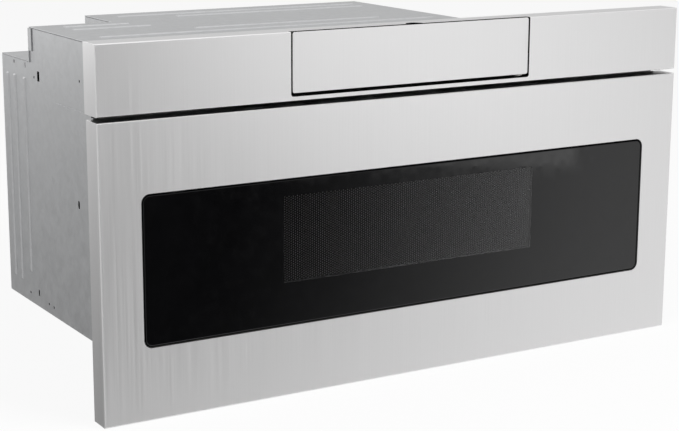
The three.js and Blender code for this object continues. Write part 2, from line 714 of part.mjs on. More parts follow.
// ---------------------------------------------------------------- oven and microwave source
const LAMP_X = LAMP_INSET - CAVITY_W / 2;
const LAMP_Y = CAVITY_BACK - LAMP_FROM_REAR;

function ovenCavity() {
  const half = CAVITY_W / 2;
  const through = (z) => [z - 3 * SHEET, z + 3 * SHEET];
  return cut(
    block(
      mirrored(half + SHEET),
      [INSIDE_Y, CAVITY_BACK + SHEET],
      [CAVITY_FLOOR - SHEET, CAVITY_CEILING + SHEET],
    ),
    block(mirrored(half), [0, CAVITY_BACK], [CAVITY_FLOOR, CAVITY_CEILING]),
    bar("z", [0, STIRRER_Y], STIRRER_HOLE_R, through(CAVITY_FLOOR), 20),
    bar("z", [LAMP_X, LAMP_Y], LAMP_R + 1, through(CAVITY_CEILING), 12),
  );
}

const MAGNETRON_HALF_D = MAGNETRON.d / 2;
const WAVEGUIDE_Y = [STIRRER_Y - STIRRER_HOLE_R - 5, MAGNETRON_Y + MAGNETRON_HALF_D + 2];

function waveguide() {
  const half = WAVEGUIDE_W / 2;
  const y = WAVEGUIDE_Y;
  const through = (z) => [z - 3 * SHEET, z + 3 * SHEET];
  return cut(
    block(mirrored(half), y, [WAVEGUIDE_BOTTOM, WAVEGUIDE_TOP]),
    block(
      mirrored(half - SHEET),
      [y[0] + SHEET, y[1] - SHEET],
      [WAVEGUIDE_BOTTOM + SHEET, WAVEGUIDE_TOP - SHEET],
    ),
    bar("z", [0, STIRRER_Y], STIRRER_HOLE_R - 3, through(WAVEGUIDE_TOP), 20),
    bar("z", [0, STIRRER_Y], STIRRER_SHAFT_R + RUNNING, through(WAVEGUIDE_BOTTOM), 12),
    bar("z", [0, MAGNETRON_Y], MAGNETRON.antennaR + 4, through(WAVEGUIDE_TOP), 16),
  );
}

function magnetron() {
  const base = WAVEGUIDE_TOP + GAP;
  const half = WAVEGUIDE_W / 2;
  const plate = MAGNETRON.plate;
  const yoke = [MAGNETRON_Y - MAGNETRON_HALF_D + 3, MAGNETRON_Y + MAGNETRON_HALF_D - 3];
  const body = [base, base + MAGNETRON.h];
  const fins = Array.from({ length: MAGNETRON.fins }, (_, i) => {
    const z = base + ((i + 1) * MAGNETRON.h) / (MAGNETRON.fins + 1);
    return block(mirrored(half - plate + 0.5), [yoke[0] + 2, yoke[1] - 2], [z, z + 1.5]);
  });
  return join(
    block(
      mirrored(half),
      [MAGNETRON_Y - MAGNETRON_HALF_D, MAGNETRON_Y + MAGNETRON_HALF_D],
      [base, base + 2],
    ),
    block([-half, plate - half], yoke, body),
    block([half - plate, half], yoke, body),
    block(mirrored(half), yoke, [body[1] - plate, body[1]]),
    block(
      mirrored(MAGNETRON.filterW / 2),
      [MAGNETRON_Y - MAGNETRON.filterW / 2, MAGNETRON_Y + MAGNETRON.filterW / 2],
      [body[1] - 1, body[1] + MAGNETRON.filterH],
    ),
    bar("z", [0, MAGNETRON_Y], MAGNETRON.anodeR, [base + 1, body[1] - 1], 16),
    bar("z", [0, MAGNETRON_Y], MAGNETRON.antennaR, [base - MAGNETRON.antennaL, base + 1], 12),
    ...fins,
  );
}

const ON_STIRRER = CAVITY_FLOOR + STIRRER_RISE;

function stirrer() {
  const blades = [0, 1, 2].map((i) =>
    block(mirrored(STIRRER_BLADE_W / 2), [4, STIRRER_R], [ON_STIRRER, ON_STIRRER + 1.6])
      .rotate([0, 0, i * 120])
      .translate([0, STIRRER_Y, 0]),
  );
  return join(
    bar("z", [0, STIRRER_Y], 3 * STIRRER_SHAFT_R, [ON_STIRRER - 2, ON_STIRRER + 3], 12),
    bar("z", [0, STIRRER_Y], STIRRER_SHAFT_R, [WAVEGUIDE_BOTTOM - SHAFT_GRIP, ON_STIRRER], 12),
    ...blades,
  );
}

function stirrerMotor() {
  const top = WAVEGUIDE_BOTTOM - GAP;
  const foot = STIRRER_MOTOR.foot;
  return cut(
    join(
      bar("z", [0, STIRRER_Y], STIRRER_MOTOR.r, [top - STIRRER_MOTOR.h, top], 20),
      block(
        mirrored(STIRRER_MOTOR.r + foot),
        [STIRRER_Y - foot, STIRRER_Y + foot],
        [top - 1.5, top],
      ),
    ),
    bar("z", [0, STIRRER_Y], STIRRER_SHAFT_R + RUNNING, [top - SHAFT_GRIP - 1, top + 1], 12),
  );
}

function transformer() {
  const y = OVERALL_DEPTH - TRANSFORMER.fromRear;
  const x = TRANSFORMER.x;
  const sides = (half, middle) => [middle - half, middle + half];
  const core = [ON_BASE, ON_BASE + TRANSFORMER.h];
  return join(
    block(sides(TRANSFORMER.w / 2, x), sides(TRANSFORMER.d / 2, y), core),
    block(
      sides(TRANSFORMER.w / 2 - TRANSFORMER.leg, x),
      sides(TRANSFORMER.d / 2 + TRANSFORMER.coil, y),
      [core[0] + TRANSFORMER.leg, core[1] - TRANSFORMER.leg],
    ),
  );
}

function capacitor() {
  const { x, fromRear, w, d, h, terminal } = CAPACITOR;
  const y = OVERALL_DEPTH - fromRear;
  const can = roundedRect([x - w / 2, x + w / 2], [y - d / 2, y + d / 2], d / 2 - 0.1);
  const top = ON_BASE + h;
  const terminals = [-w / 5, w / 5].map((offset) =>
    block(
      [x + offset - terminal / 4, x + offset + terminal / 4],
      [y - terminal / 8, y + terminal / 8],
      [top - 1, top + terminal],
    ),
  );
  return join(acrossZ(can, [ON_BASE, top], 1), ...terminals);
}

function ovenLamp() {
  const flange = [LAMP_R + 9, LAMP_R + 5];
  return join(
    block(
      [LAMP_X - flange[0], LAMP_X + flange[0]],
      [LAMP_Y - flange[1], LAMP_Y + flange[1]],
      [ON_CAVITY, ON_CAVITY + 3],
    ),
    bar("z", [LAMP_X, LAMP_Y], LAMP_R, [ON_CAVITY + 2, ON_CAVITY + LAMP_H - 10], 14),
    block(
      [LAMP_X - LAMP_R + 4, LAMP_X + LAMP_R - 4],
      [LAMP_Y - LAMP_R + 6, LAMP_Y + LAMP_R - 6],
      [ON_CAVITY + LAMP_H - 11, ON_CAVITY + LAMP_H],
    ),
  );
}

function exhaustDuct() {
  const x = [DUCT.x, DUCT.x + DUCT.w];
  const y = [INSIDE_Y, CAVITY_BACK - DUCT.fromRear];
  const top = ON_CAVITY + DUCT.h;
  return cut(
    block(x, y, [ON_CAVITY, top]),
    block(
      [x[0] + SHEET, x[1] - SHEET],
      [y[0] - SHEET, y[1] + SHEET],
      [ON_CAVITY + SHEET, top - SHEET],
    ),
  );
}

// ---------------------------------------------------------------- cooling fan
const FAN_BACK = REAR_INNER_Y - GAP;
const FAN_FRONT = FAN_BACK - FAN_DEPTH;
const FAN_HALF = FAN_BORE_R + FAN_FRAME;

function fanHousing() {
  const outline = rect([FAN_X - FAN_HALF, FAN_X + FAN_HALF], [FAN_Z - FAN_HALF, FAN_Z + FAN_HALF]);
  punch(outline, hole(FAN_X, FAN_Z, FAN_BORE_R, 28));
  return acrossY(outline, [FAN_FRONT, FAN_BACK]);
}

function fanMotor() {
  const front = FAN_FRONT - GAP;
  const arm = [front - FAN_MOTOR.arm, front];
  const halfArm = FAN_MOTOR.armW / 2;
  return cut(
    join(
      bar("y", [FAN_X, FAN_Z], FAN_MOTOR.r, [front - FAN_MOTOR.length, front], 20),
      block([FAN_X - FAN_HALF, FAN_X + FAN_HALF], arm, [FAN_Z - halfArm, FAN_Z + halfArm]),
      block([FAN_X - halfArm, FAN_X + halfArm], arm, [FAN_Z - FAN_HALF, FAN_Z + FAN_HALF]),
    ),
    bar("y", [FAN_X, FAN_Z], FAN_SHAFT_R + RUNNING, [front - SHAFT_GRIP - 1, front + 1], 12),
  );
}

function fanImpeller() {
  const y = [FAN_FRONT + FAN_TIP_GAP, FAN_BACK - FAN_TIP_GAP];
  const middle = (y[0] + y[1]) / 2;
  const tip = FAN_BORE_R - FAN_TIP_GAP;
  const blades = Array.from({ length: FAN_BLADES }, (_, i) =>
    block([-1.1, 1.1], mirrored(FAN_BLADE_W / 2), [FAN_HUB_R - 2, tip])
      .rotate([0, 0, FAN_PITCH_DEG])
      .rotate([0, (i * 360) / FAN_BLADES, 0])
      .translate([FAN_X, middle, FAN_Z]),
  );
  const shaft = [FAN_FRONT - GAP - SHAFT_GRIP, y[0] + 1];
  return join(
    bar("y", [FAN_X, FAN_Z], FAN_HUB_R, y, 20),
    bar("y", [FAN_X, FAN_Z], FAN_SHAFT_R, shaft, 12),
    ...blades,
  );
}

// ---------------------------------------------------------------- electrics
function powerBoard() {
  const { x, w, d, standoff, tall } = POWER_BOARD;
  const y = INSIDE_Y + POWER_BOARD.setback;
  const board = ON_CAVITY + standoff;
  const deck = board + SHEET;
  const legs = [x + 6, x + w - 14].flatMap((legX) =>
    [y + 6, y + d - 14].map((legY) =>
      block([legX, legX + 8], [legY, legY + 8], [ON_CAVITY, deck]),
    ),
  );
  const on = (px, py, pw, pd, ph) =>
    block([x + px, x + px + pw], [y + py, y + py + pd], [deck - 0.5, deck + ph]);
  return join(
    block([x, x + w], [y, y + d], [board, deck]),
    ...legs,
    on(15, 120, 50, 50, tall),
    on(80, 130, 28, 16, tall / 2),
    on(80, 154, 28, 16, tall / 2),
    on(20, 20, 60, 10, tall / 3),
    bar("z", [x + 125, y + 40], 9, [deck - 0.5, deck + tall - 6], 12),
  );
}

function noiseFilterBoard() {
  const { w, d, standoff } = FILTER_BOARD;
  const top = NOTCH_FLOOR - SHEET - GAP;
  const x = GLAND_X - w / 2;
  const y = OVERALL_DEPTH - FILTER_BOARD.fromRear - d / 2;
  const board = top - standoff;
  const legs = [x + 5, x + w - 11].flatMap((legX) =>
    [y + 5, y + d - 11].map((legY) =>
      block([legX, legX + 6], [legY, legY + 6], [board - SHEET, top]),
    ),
  );
  const under = (px, py, pw, pd, ph) =>
    block([x + px, x + px + pw], [y + py, y + py + pd], [board - SHEET - ph, board - 0.5]);
  const choke = [board - SHEET - FILTER_BOARD.tall, board - 0.5];
  return join(
    block([x, x + w], [y, y + d], [board - SHEET, board]),
    ...legs,
    bar("z", [x + 28, y + 37], 16, choke, 16),
    under(52, 17, 24, 14, FILTER_BOARD.tall - 4),
    under(52, 42, 24, 14, FILTER_BOARD.tall - 8),
  );
}

function cordGland() {
  const inside = NOTCH_Y - SHEET - GLAND_GRIP;
  const flange = NOTCH_Y + GAP;
  const profile = [
    [GLAND_BORE_R, inside],
    [GLAND_THREAD_R, inside],
    [GLAND_THREAD_R, flange],
    [GLAND_NUT_R, flange],
    [GLAND_NUT_R, flange + 4],
    [GLAND_BORE_R * 2, flange + 12],
    [GLAND_BORE_R, flange + 12],
    [GLAND_BORE_R, inside],
  ].map(([r, y]) => new THREE.Vector2(r, y));
  return solid(new THREE.LatheGeometry(profile, 16)).translate([GLAND_X, 0, GLAND_Z]);
}

// ---------------------------------------------------------------- slide rails
// Each member is a C section. The outer one opens inward and holds the middle one, which holds
// the inner one on the drawer.
function railMember(side, webX, inset, mouthX, y) {
  const z = [RAIL_BOTTOM + inset, RAIL_TOP - inset];
  return cut(
    block([side * mouthX, side * webX], y, z),
    block(
      [side * (mouthX - RAIL_SHEET), side * (webX - RAIL_SHEET)],
      [y[0] - RAIL_SHEET, y[1] + RAIL_SHEET],
      [z[0] + RAIL_SHEET, z[1] - RAIL_SHEET],
    ),
  );
}

const RAIL_END = OVERALL_DEPTH - RAIL_REAR_SPACE;
const INNER_RAIL_END = RAIL_END - INNER_RAIL_SETBACK;
const NEST_STEP = RAIL_SHEET + RAIL_NEST;

const outerRail = (side) => railMember(side, OUTER_RAIL_X, 0, RAIL_MOUTH_X, [INSIDE_Y, RAIL_END]);

const middleRail = (side) =>
  railMember(side, OUTER_RAIL_X - NEST_STEP, NEST_STEP, RAIL_MOUTH_X, [
    INSIDE_Y + NEST_STEP,
    RAIL_END - RAIL_SETBACK,
  ]);

const innerRail = (side) =>
  railMember(side, OUTER_RAIL_X - 2 * NEST_STEP, 2 * NEST_STEP, RAIL_MOUTH_X - NEST_STEP, [
    DRAWER_FRONT_DEPTH + GAP,
    INNER_RAIL_END,
  ]);

// ---------------------------------------------------------------- drawer
const WINDOW_X = mirrored(WINDOW_W / 2);
const WINDOW_Z = [WINDOW_SILL, WINDOW_SILL + WINDOW_H];
const DRAWER_TOP = FLOOR_GAP + DRAWER_FRONT_H;

function drawerFront() {
  const half = FRONT_W / 2;
  return cut(
    acrossY(rect(mirrored(half), [FLOOR_GAP, DRAWER_TOP]), [0, DRAWER_FRONT_DEPTH], EDGE),
    block(
      mirrored(half - SHEET),
      [SHEET, DRAWER_FRONT_DEPTH + SHEET],
      [FLOOR_GAP + SHEET, DRAWER_TOP - SHEET],
    ),
    acrossY(roundedRect(WINDOW_X, WINDOW_Z, WINDOW_R), [-SHEET, 3 * SHEET]),
  );
}

function drawerBack() {
  const inset = SHEET + GAP;
  const outline = rect(mirrored(FRONT_W / 2 - inset), [FLOOR_GAP + inset, DRAWER_TOP - inset]);
  punch(outline, rect(mirrored(CHOKE_W / 2 + GAP), [CHOKE_BOTTOM - GAP, CHOKE_TOP + GAP]));
  return acrossY(outline, [DRAWER_FRONT_DEPTH - SHEET, DRAWER_FRONT_DEPTH]);
}

const windowGlass = () =>
  acrossY(
    roundedRect(grown(WINDOW_X, -GLASS_GAP), grown(WINDOW_Z, -GLASS_GAP), WINDOW_R - GLASS_GAP),
    [GLASS_SETBACK, GLASS_BACK],
  );

function windowGasket() {
  const inner = GAP - GLASS_GAP;
  const outer = GASKET_W;
  const ring = roundedRect(grown(WINDOW_X, outer), grown(WINDOW_Z, outer), WINDOW_R + outer);
  const bore = roundedRect(grown(WINDOW_X, inner), grown(WINDOW_Z, inner), WINDOW_R + inner);
  return acrossY(punch(ring, bore), [SHEET + GAP, SCREEN_Y - GAP]);
}

const screenPlate = () =>
  acrossY(rect(mirrored(CHOKE_W / 2), [CHOKE_BOTTOM, CHOKE_TOP]), [SCREEN_Y, SCREEN_Y + SHEET]);

function chokeFrame() {
  const outline = rect(mirrored(CHOKE_W / 2), [CHOKE_BOTTOM, CHOKE_TOP]);
  const bore = rect(
    mirrored(TUB_OUTER_X + TUB_SLIP),
    [TUB_FLOOR - SHEET - TUB_SLIP, CAVITY_CEILING],
  );
  return acrossY(punch(outline, bore), [TUB_Y, FASCIA_DEPTH - 2 * GAP]);
}

function drawerTub() {
  const half = TUB_W / 2;
  const ledge = CERAMIC_LEDGE;
  return cut(
    block(
      mirrored(TUB_OUTER_X),
      [TUB_Y, TUB_BACK + SHEET],
      [TUB_FLOOR - SHEET, TUB_WALL_TOP],
    ),
    block(mirrored(half), [TUB_Y - SHEET, TUB_BACK], [TUB_FLOOR, TUB_WALL_TOP + SHEET]),
    block(
      mirrored(half - ledge),
      [TUB_Y + ledge, TUB_BACK - ledge],
      [TUB_FLOOR - 3 * SHEET, TUB_FLOOR + SHEET],
    ),
  );
}

const ceramicFloor = () =>
  block(
    mirrored(TUB_W / 2 - GAP),
    [TUB_Y + GAP, TUB_BACK - GAP],
    [TUB_FLOOR + GAP, CERAMIC_TOP],
  );

// The rack's teeth point down, with a gap over the pinion.
function driveRack() {
  const halfPitch = RACK_PITCH / 2;
  const tip = RACK_PITCH_Z - RACK_MODULE;
  const root = RACK_PITCH_Z + 1.25 * RACK_MODULE;
  const slope = Math.tan(PRESSURE);
  const halfAtPitch = RACK_PITCH / 4 - BACKLASH / 2;
  const halfAtTip = halfAtPitch - RACK_MODULE * slope;
  const halfAtRoot = halfAtPitch + 1.25 * RACK_MODULE * slope;
  const front = DRAWER_FRONT_DEPTH + GAP;
  const before = Math.floor((PINION_Y - front - RACK_PLAIN_END) / RACK_PITCH);
  const first = PINION_Y + halfPitch - before * RACK_PITCH;
  const teeth = Math.floor((INNER_RAIL_END - first) / RACK_PITCH);
  const points = [[front, root]];
  for (let i = 0; i < teeth; i += 1) {
    const y = first + i * RACK_PITCH;
    points.push([y - halfAtRoot, root], [y - halfAtTip, tip], [y + halfAtTip, tip]);
    points.push([y + halfAtRoot, root]);
  }
  const back = first + teeth * RACK_PITCH;
  const top = RACK_PITCH_Z + RACK_BODY_H;
  points.push([back, root], [back, top], [front, top]);
  return acrossX(polygon(points), [RACK_X, RACK_X + RACK_W]);
}

const GEARBOX_X = RACK_X + RACK_W + DRIVE_MOTOR.clearance;

// One tooth points up into a gap of the rack. The shaft turns in the gearbox.
function drivePinion() {
  const points = Array.from({ length: PINION_TEETH }, (_, i) =>
    toothPoints(RACK_MODULE, PINION_TEETH, Math.PI / 2 + (i / PINION_TEETH) * 2 * Math.PI),
  ).flat();
  const outline = polygon(points.map(([y, z]) => [y + PINION_Y, z + PINION_Z]));
  const x = [RACK_X + PINION_INSET, RACK_X + RACK_W - PINION_INSET];
  const shaft = [x[1] - 1, GEARBOX_X + SHAFT_GRIP];
  return join(acrossX(outline, x), bar("x", [PINION_Y, PINION_Z], DRIVE_SHAFT_R, shaft, 16));
}

function driveMotor() {
  const { gearboxW, h, front, back, motorR, motorL } = DRIVE_MOTOR;
  const y = [PINION_Y - front, PINION_Y + back];
  const axis = [y[1] - motorR - 3, ON_BASE + motorR + 8];
  return cut(
    join(
      block([GEARBOX_X, GEARBOX_X + gearboxW], y, [ON_BASE, ON_BASE + h]),
      block([GEARBOX_X, GEARBOX_X + gearboxW + motorL - 2], [axis[0] - motorR, y[1]], [
        ON_BASE,
        ON_BASE + 3,
      ]),
      bar("x", axis, motorR, [GEARBOX_X + gearboxW - 1, GEARBOX_X + gearboxW + motorL], 18),
    ),
    bar(
      "x",
      [PINION_Y, PINION_Z],
      DRIVE_SHAFT_R + RUNNING,
      [GEARBOX_X - 1, GEARBOX_X + SHAFT_GRIP + 1],
      16,
    ),
  );
}

// ---------------------------------------------------------------- interlocks
function striker(side) {
  const x = side * STRIKER_X;
  const z = [STRIKER_Z - STRIKER_H / 2, STRIKER_Z + STRIKER_H / 2];
  const foot = DRAWER_FRONT_DEPTH + GAP;
  return join(
    block([x - STRIKER_W / 2, x + STRIKER_W / 2], [foot, STRIKER_END], z),
    block([x - STRIKER_W / 2 - 1.5, x + STRIKER_W / 2 + 1.5], [foot, foot + 1.5], grown(z, 1.5)),
  );
}

const SWITCH_Y = STRIKER_END + SWITCH_SETBACK;
const PLUNGER_END = STRIKER_END + RUNNING + PLUNGER_LENGTH;

function interlockSwitch(side) {
  const x = [side * (STRIKER_X - SWITCH.reach), side * (SIDE_INNER_X - GAP)];
  const bore = [SWITCH_Y - 1, PLUNGER_END + PLUNGER_TRAVEL + 1];
  return cut(
    block(x, [SWITCH_Y, SWITCH_Y + SWITCH.d], [STRIKER_Z - SWITCH.below, STRIKER_Z + STRIKER_H]),
    bar("y", [side * STRIKER_X, STRIKER_Z], PLUNGER_R + RUNNING, bore, 12),
  );
}

const interlockPlunger = (side) =>
  bar("y", [side * STRIKER_X, STRIKER_Z], PLUNGER_R, [STRIKER_END + RUNNING, PLUNGER_END], 12);

// ---------------------------------------------------------------- control panel
// Closed, the keypad slopes down and back behind the steel face, inside the fascia.
const HOUSING_X = [GAP - SECTOR_X0, SECTOR_X0 - GAP];
const FACE_T = SHEET;
const SLOPE_TOP = [
  FACE_T + GAP + KEYPAD_T * Math.cos(SLOPE_ANGLE),
  CONTROL_TOP - KEYPAD_DROP,
];

// A point beside the slope: the distance down it from its top, and the depth under it.
function onSlope(distance, depth) {
  return [
    SLOPE_TOP[0] + distance * Math.sin(SLOPE_ANGLE) - depth * Math.cos(SLOPE_ANGLE),
    SLOPE_TOP[1] - distance * Math.cos(SLOPE_ANGLE) - depth * Math.sin(SLOPE_ANGLE),
  ];
}

const controlFace = () =>
  acrossY(
    roundedRect(mirrored(CONTROL_HALF_W), [CONTROL_BOTTOM, CONTROL_TOP], CONTROL_FACE_R),
    [0, FACE_T],
    FACE_T / 3,
  );

function controlHousing() {
  const rim = KEYPAD_T + GAP;
  const wall = HOUSING_WALL;
  const front = FACE_T + GAP;
  const bottom = CONTROL_BOTTOM + wall;
  const back = onSlope(KEYPAD_LENGTH, rim);
  const top = onSlope(HOUSING_LIP, rim);
  const outer = polygon([
    [front, bottom],
    [back[0] - 2 * wall, bottom],
    [back[0], bottom + 2 * wall],
    back,
    top,
    [front, top[1]],
  ]);
  const innerTop = onSlope(2 * HOUSING_LIP, rim);
  const innerBack = onSlope(KEYPAD_LENGTH - wall, rim);
  const well = polygon([
    [front + wall, bottom + wall],
    [back[0] - 3 * wall, bottom + wall],
    [back[0] - wall, bottom + 3 * wall],
    innerBack,
    onSlope(KEYPAD_LENGTH - wall, 0),
    onSlope(2 * HOUSING_LIP, 0),
    innerTop,
    [front + wall, innerTop[1] - wall],
  ]);
  return cut(acrossX(outer, HOUSING_X), acrossX(well, grown(HOUSING_X, -wall)));
}

const keypadGlass = () =>
  acrossX(
    polygon([
      onSlope(0, KEYPAD_T),
      onSlope(KEYPAD_LENGTH, KEYPAD_T),
      onSlope(KEYPAD_LENGTH, 0),
      onSlope(0, 0),
    ]),
    HOUSING_X,
  );

// A block under the slope, between two distances down it and two depths below it.
const underSlope = (distance, depth, x) =>
  acrossX(
    polygon([
      onSlope(distance[0], depth[1]),
      onSlope(distance[1], depth[1]),
      onSlope(distance[1], depth[0]),
      onSlope(distance[0], depth[0]),
    ]),
    x,
  );

// The board hangs from posts right under the keypad glass, and carries the display.
function controlBoard() {
  const x = grown(HOUSING_X, -3 * HOUSING_WALL);
  const under = KEYPAD_T + GAP;
  const board = under + BOARD_DROP;
  const down = [2 * HOUSING_LIP + 3, KEYPAD_LENGTH - 5];
  const post = [down[0] + 3, down[0] + 7];
  return join(
    underSlope(down, [board, board + 1.5], x),
    underSlope(post, [under, board + 0.5], [x[0], x[0] + 5]),
    underSlope(post, [under, board + 0.5], [x[1] - 5, x[1]]),
    underSlope([down[1] - 13, down[1] - 3], [under, board + 0.5], mirrored(DISPLAY_W / 2)),
  );
}

const SECTOR_X = [SECTOR_X0, SECTOR_X0 + SECTOR_W];
const TILT_GEARBOX_X = SECTOR_X[1] + TILT_GEARBOX_GAP;

function tiltSector() {
  const step = (2 * Math.PI) / SECTOR_TEETH;
  const points = [];
  for (let i = -SECTOR_TEETH_BELOW; i <= SECTOR_TEETH_ABOVE; i += 1) {
    points.push(...toothPoints(TILT_MODULE, SECTOR_TEETH, i * step));
  }
  const start = (SECTOR_TEETH_ABOVE + 0.5) * step;
  const sweep = 2 * Math.PI - (SECTOR_TEETH_ABOVE + SECTOR_TEETH_BELOW + 1) * step;
  const hub = Array.from({ length: 7 }, (_, i) => {
    const angle = start + ((i + 1) / 8) * sweep;
    return [2 * PIN_R * Math.cos(angle), 2 * PIN_R * Math.sin(angle)];
  });
  const outline = polygon([...points, ...hub].map(([y, z]) => [y + TILT_Y, z + TILT_Z]));
  return acrossX(outline, SECTOR_X);
}

// A gap of the pinion faces the sector's middle tooth. The shaft turns in the gearbox.
function tiltPinion() {
  const points = Array.from({ length: TILT_PINION_TEETH }, (_, i) =>
    toothPoints(
      TILT_MODULE,
      TILT_PINION_TEETH,
      Math.PI + ((i + 0.5) / TILT_PINION_TEETH) * 2 * Math.PI,
    ),
  ).flat();
  const outline = polygon(points.map(([y, z]) => [y + TILT_PINION_Y, z + TILT_Z]));
  const x = grown(SECTOR_X, -PINION_INSET);
  const shaft = [x[1] - 1, TILT_GEARBOX_X + TILT_GEARBOX_W - 2];
  return join(acrossX(outline, x), bar("x", [TILT_PINION_Y, TILT_Z], TILT_SHAFT_R, shaft, 10));
}

function tiltMotor() {
  const x = [TILT_GEARBOX_X, TILT_GEARBOX_X + TILT_GEARBOX_W];
  const halfH = TILT_GEARBOX_H / 2;
  const back = INSIDE_Y + TILT_MOTOR.reach;
  const axis = [back - TILT_MOTOR.r - 2, TILT_Z];
  const ear = [TILT_Z - halfH - TILT_MOTOR.ear, TILT_Z + halfH];
  return cut(
    join(
      block(x, [TILT_PINION_Y - 6, back], [TILT_Z - halfH, TILT_Z + halfH]),
      block([x[0], x[1] + TILT_MOTOR.length - 4], [INSIDE_Y, INSIDE_Y + 1.5], ear),
      bar("x", axis, TILT_MOTOR.r, [x[1] - 1, x[1] + TILT_MOTOR.length], 16),
    ),
    bar("x", [TILT_PINION_Y, TILT_Z], TILT_SHAFT_R + RUNNING, [x[0] - 1, x[1] - 1], 10),
  );
}

const pivotPin = (x) => bar("x", [TILT_Y, TILT_Z], PIN_R, x, 14);

function tiltBracket(side) {
  const foot = FASCIA_DEPTH - SHEET - GAP;
  const x = [side * BRACKET_X, side * (BRACKET_X + BRACKET_T)];
  const z = [TILT_Z - BRACKET_H / 2, TILT_Z + BRACKET_H / 2];
  const outline = roundedRect([TILT_Y - 2 * PIN_R, foot], z, PIN_R);
  punch(outline, hole(TILT_Y, TILT_Z, PIN_R + RUNNING, 14));
  return join(
    acrossX(outline, x),
    block([x[0], side * (BRACKET_X + BRACKET_FOOT)], [foot - 1.5, foot], z),
  );
}

// ---------------------------------------------------------------- the assembly
const fromFront = new THREE.Group();
fromFront.position.y = -OVERALL_DEPTH / 2;

const group = (...meshes) => fromFront.add(new THREE.Group().add(...meshes));

group(
  placed("fascia_panel", fasciaPanel(), STAINLESS),
  placed("fascia_back", fasciaBack(), GALVANISED),
  placed("vent_grille", ventGrille(), GREY_PLASTIC),
);
group(
  placed("base_pan", basePan(), GALVANISED),
  placed("left_side_panel", sidePanel(-1), GALVANISED),
  placed("right_side_panel", sidePanel(1), GALVANISED),
  placed("top_cover", topCover(), GALVANISED),
  placed("notch_cover", notchCover(), GALVANISED),
  placed("rear_cover", rearCover(), GALVANISED),
  placed("front_frame", frontFrame(), GALVANISED),
);
group(
  placed("oven_cavity", ovenCavity(), ENAMEL),
  placed("exhaust_duct", exhaustDuct(), GALVANISED),
  placed("oven_lamp", ovenLamp(), WHITE_PLASTIC),
  placed("waveguide", waveguide(), ALUMINIUM),
  placed("magnetron", magnetron(), ALUMINIUM),
  placed("stirrer", stirrer(), ALUMINIUM),
  placed("stirrer_motor", stirrerMotor(), DARK_STEEL),
  placed("transformer", transformer(), DARK_STEEL),
  placed("capacitor", capacitor(), ALUMINIUM),
);
group(
  placed("fan_housing", fanHousing(), BLACK_PLASTIC),
  placed("fan_motor", fanMotor(), DARK_STEEL),
  placed("fan_impeller", fanImpeller(), WHITE_PLASTIC),
  placed("power_board", powerBoard(), BOARD),
  placed("noise_filter_board", noiseFilterBoard(), BOARD),
  placed("cord_gland", cordGland(), BLACK_PLASTIC),
);
group(
  placed("drawer_front", drawerFront(), STAINLESS),
  placed("drawer_back", drawerBack(), GALVANISED),
  placed("window_glass", windowGlass(), BLACK_GLASS),
  placed("window_gasket", windowGasket(), RUBBER),
  placed("screen_plate", screenPlate(), SCREEN_STEEL),
  placed("choke_frame", chokeFrame(), BLACK_PLASTIC),
  placed("drawer_tub", drawerTub(), ENAMEL),
  placed("ceramic_floor", ceramicFloor(), CERAMIC),
  placed("drive_rack", driveRack(), WHITE_PLASTIC),
);
group(
  placed("drive_pinion", drivePinion(), DARK_STEEL),
  placed("drive_motor", driveMotor(), DARK_STEEL),
);
for (const [side, word] of [[-1, "left"], [1, "right"]]) {
  group(
    placed(`${word}_outer_rail`, outerRail(side), GALVANISED),
    placed(`${word}_middle_rail`, middleRail(side), GALVANISED),
    placed(`${word}_inner_rail`, innerRail(side), GALVANISED),
    placed(`${word}_striker`, striker(side), WHITE_PLASTIC),
    placed(`${word}_interlock_switch`, interlockSwitch(side), BLACK_PLASTIC),
    placed(`${word}_interlock_plunger`, interlockPlunger(side), WHITE_PLASTIC),
    placed(`${word}_tilt_bracket`, tiltBracket(side), GALVANISED),
  );
}
group(
  placed("control_face", controlFace(), STAINLESS),
  placed("control_housing", controlHousing(), GREY_PLASTIC),
  placed("keypad_glass", keypadGlass(), BLACK_GLASS),
  placed("control_board", controlBoard(), BOARD),
  placed("tilt_sector", tiltSector(), WHITE_PLASTIC),
  placed("left_pivot_pin", pivotPin([-PIN_END, HOUSING_X[0] - GAP]), DARK_STEEL),
  placed("right_pivot_pin", pivotPin([SECTOR_X[1] + GAP, PIN_END]), DARK_STEEL),
  placed("tilt_pinion", tiltPinion(), DARK_STEEL),
  placed("tilt_motor", tiltMotor(), DARK_STEEL),
);

export default new THREE.Group().add(fromFront);
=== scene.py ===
import json
import math

import bmesh
import bpy
from mathutils import Matrix, Vector


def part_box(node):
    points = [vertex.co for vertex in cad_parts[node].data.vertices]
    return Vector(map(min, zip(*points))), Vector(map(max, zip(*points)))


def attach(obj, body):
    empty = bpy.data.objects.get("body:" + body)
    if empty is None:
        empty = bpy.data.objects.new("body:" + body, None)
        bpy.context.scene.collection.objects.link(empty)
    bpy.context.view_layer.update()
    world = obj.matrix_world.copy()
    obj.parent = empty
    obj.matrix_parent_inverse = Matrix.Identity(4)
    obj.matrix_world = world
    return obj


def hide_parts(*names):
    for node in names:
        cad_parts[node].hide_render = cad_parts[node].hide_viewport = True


MM = 0.001

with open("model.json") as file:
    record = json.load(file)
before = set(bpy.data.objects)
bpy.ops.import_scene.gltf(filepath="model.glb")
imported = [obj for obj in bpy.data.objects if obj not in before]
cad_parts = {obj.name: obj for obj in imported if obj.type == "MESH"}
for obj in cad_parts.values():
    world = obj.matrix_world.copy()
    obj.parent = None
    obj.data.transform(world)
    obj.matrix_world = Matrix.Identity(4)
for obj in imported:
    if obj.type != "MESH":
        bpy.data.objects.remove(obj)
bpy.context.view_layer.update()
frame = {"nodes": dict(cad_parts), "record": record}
nodes = frame["nodes"]
FRONT_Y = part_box("drawer_front")[0].y


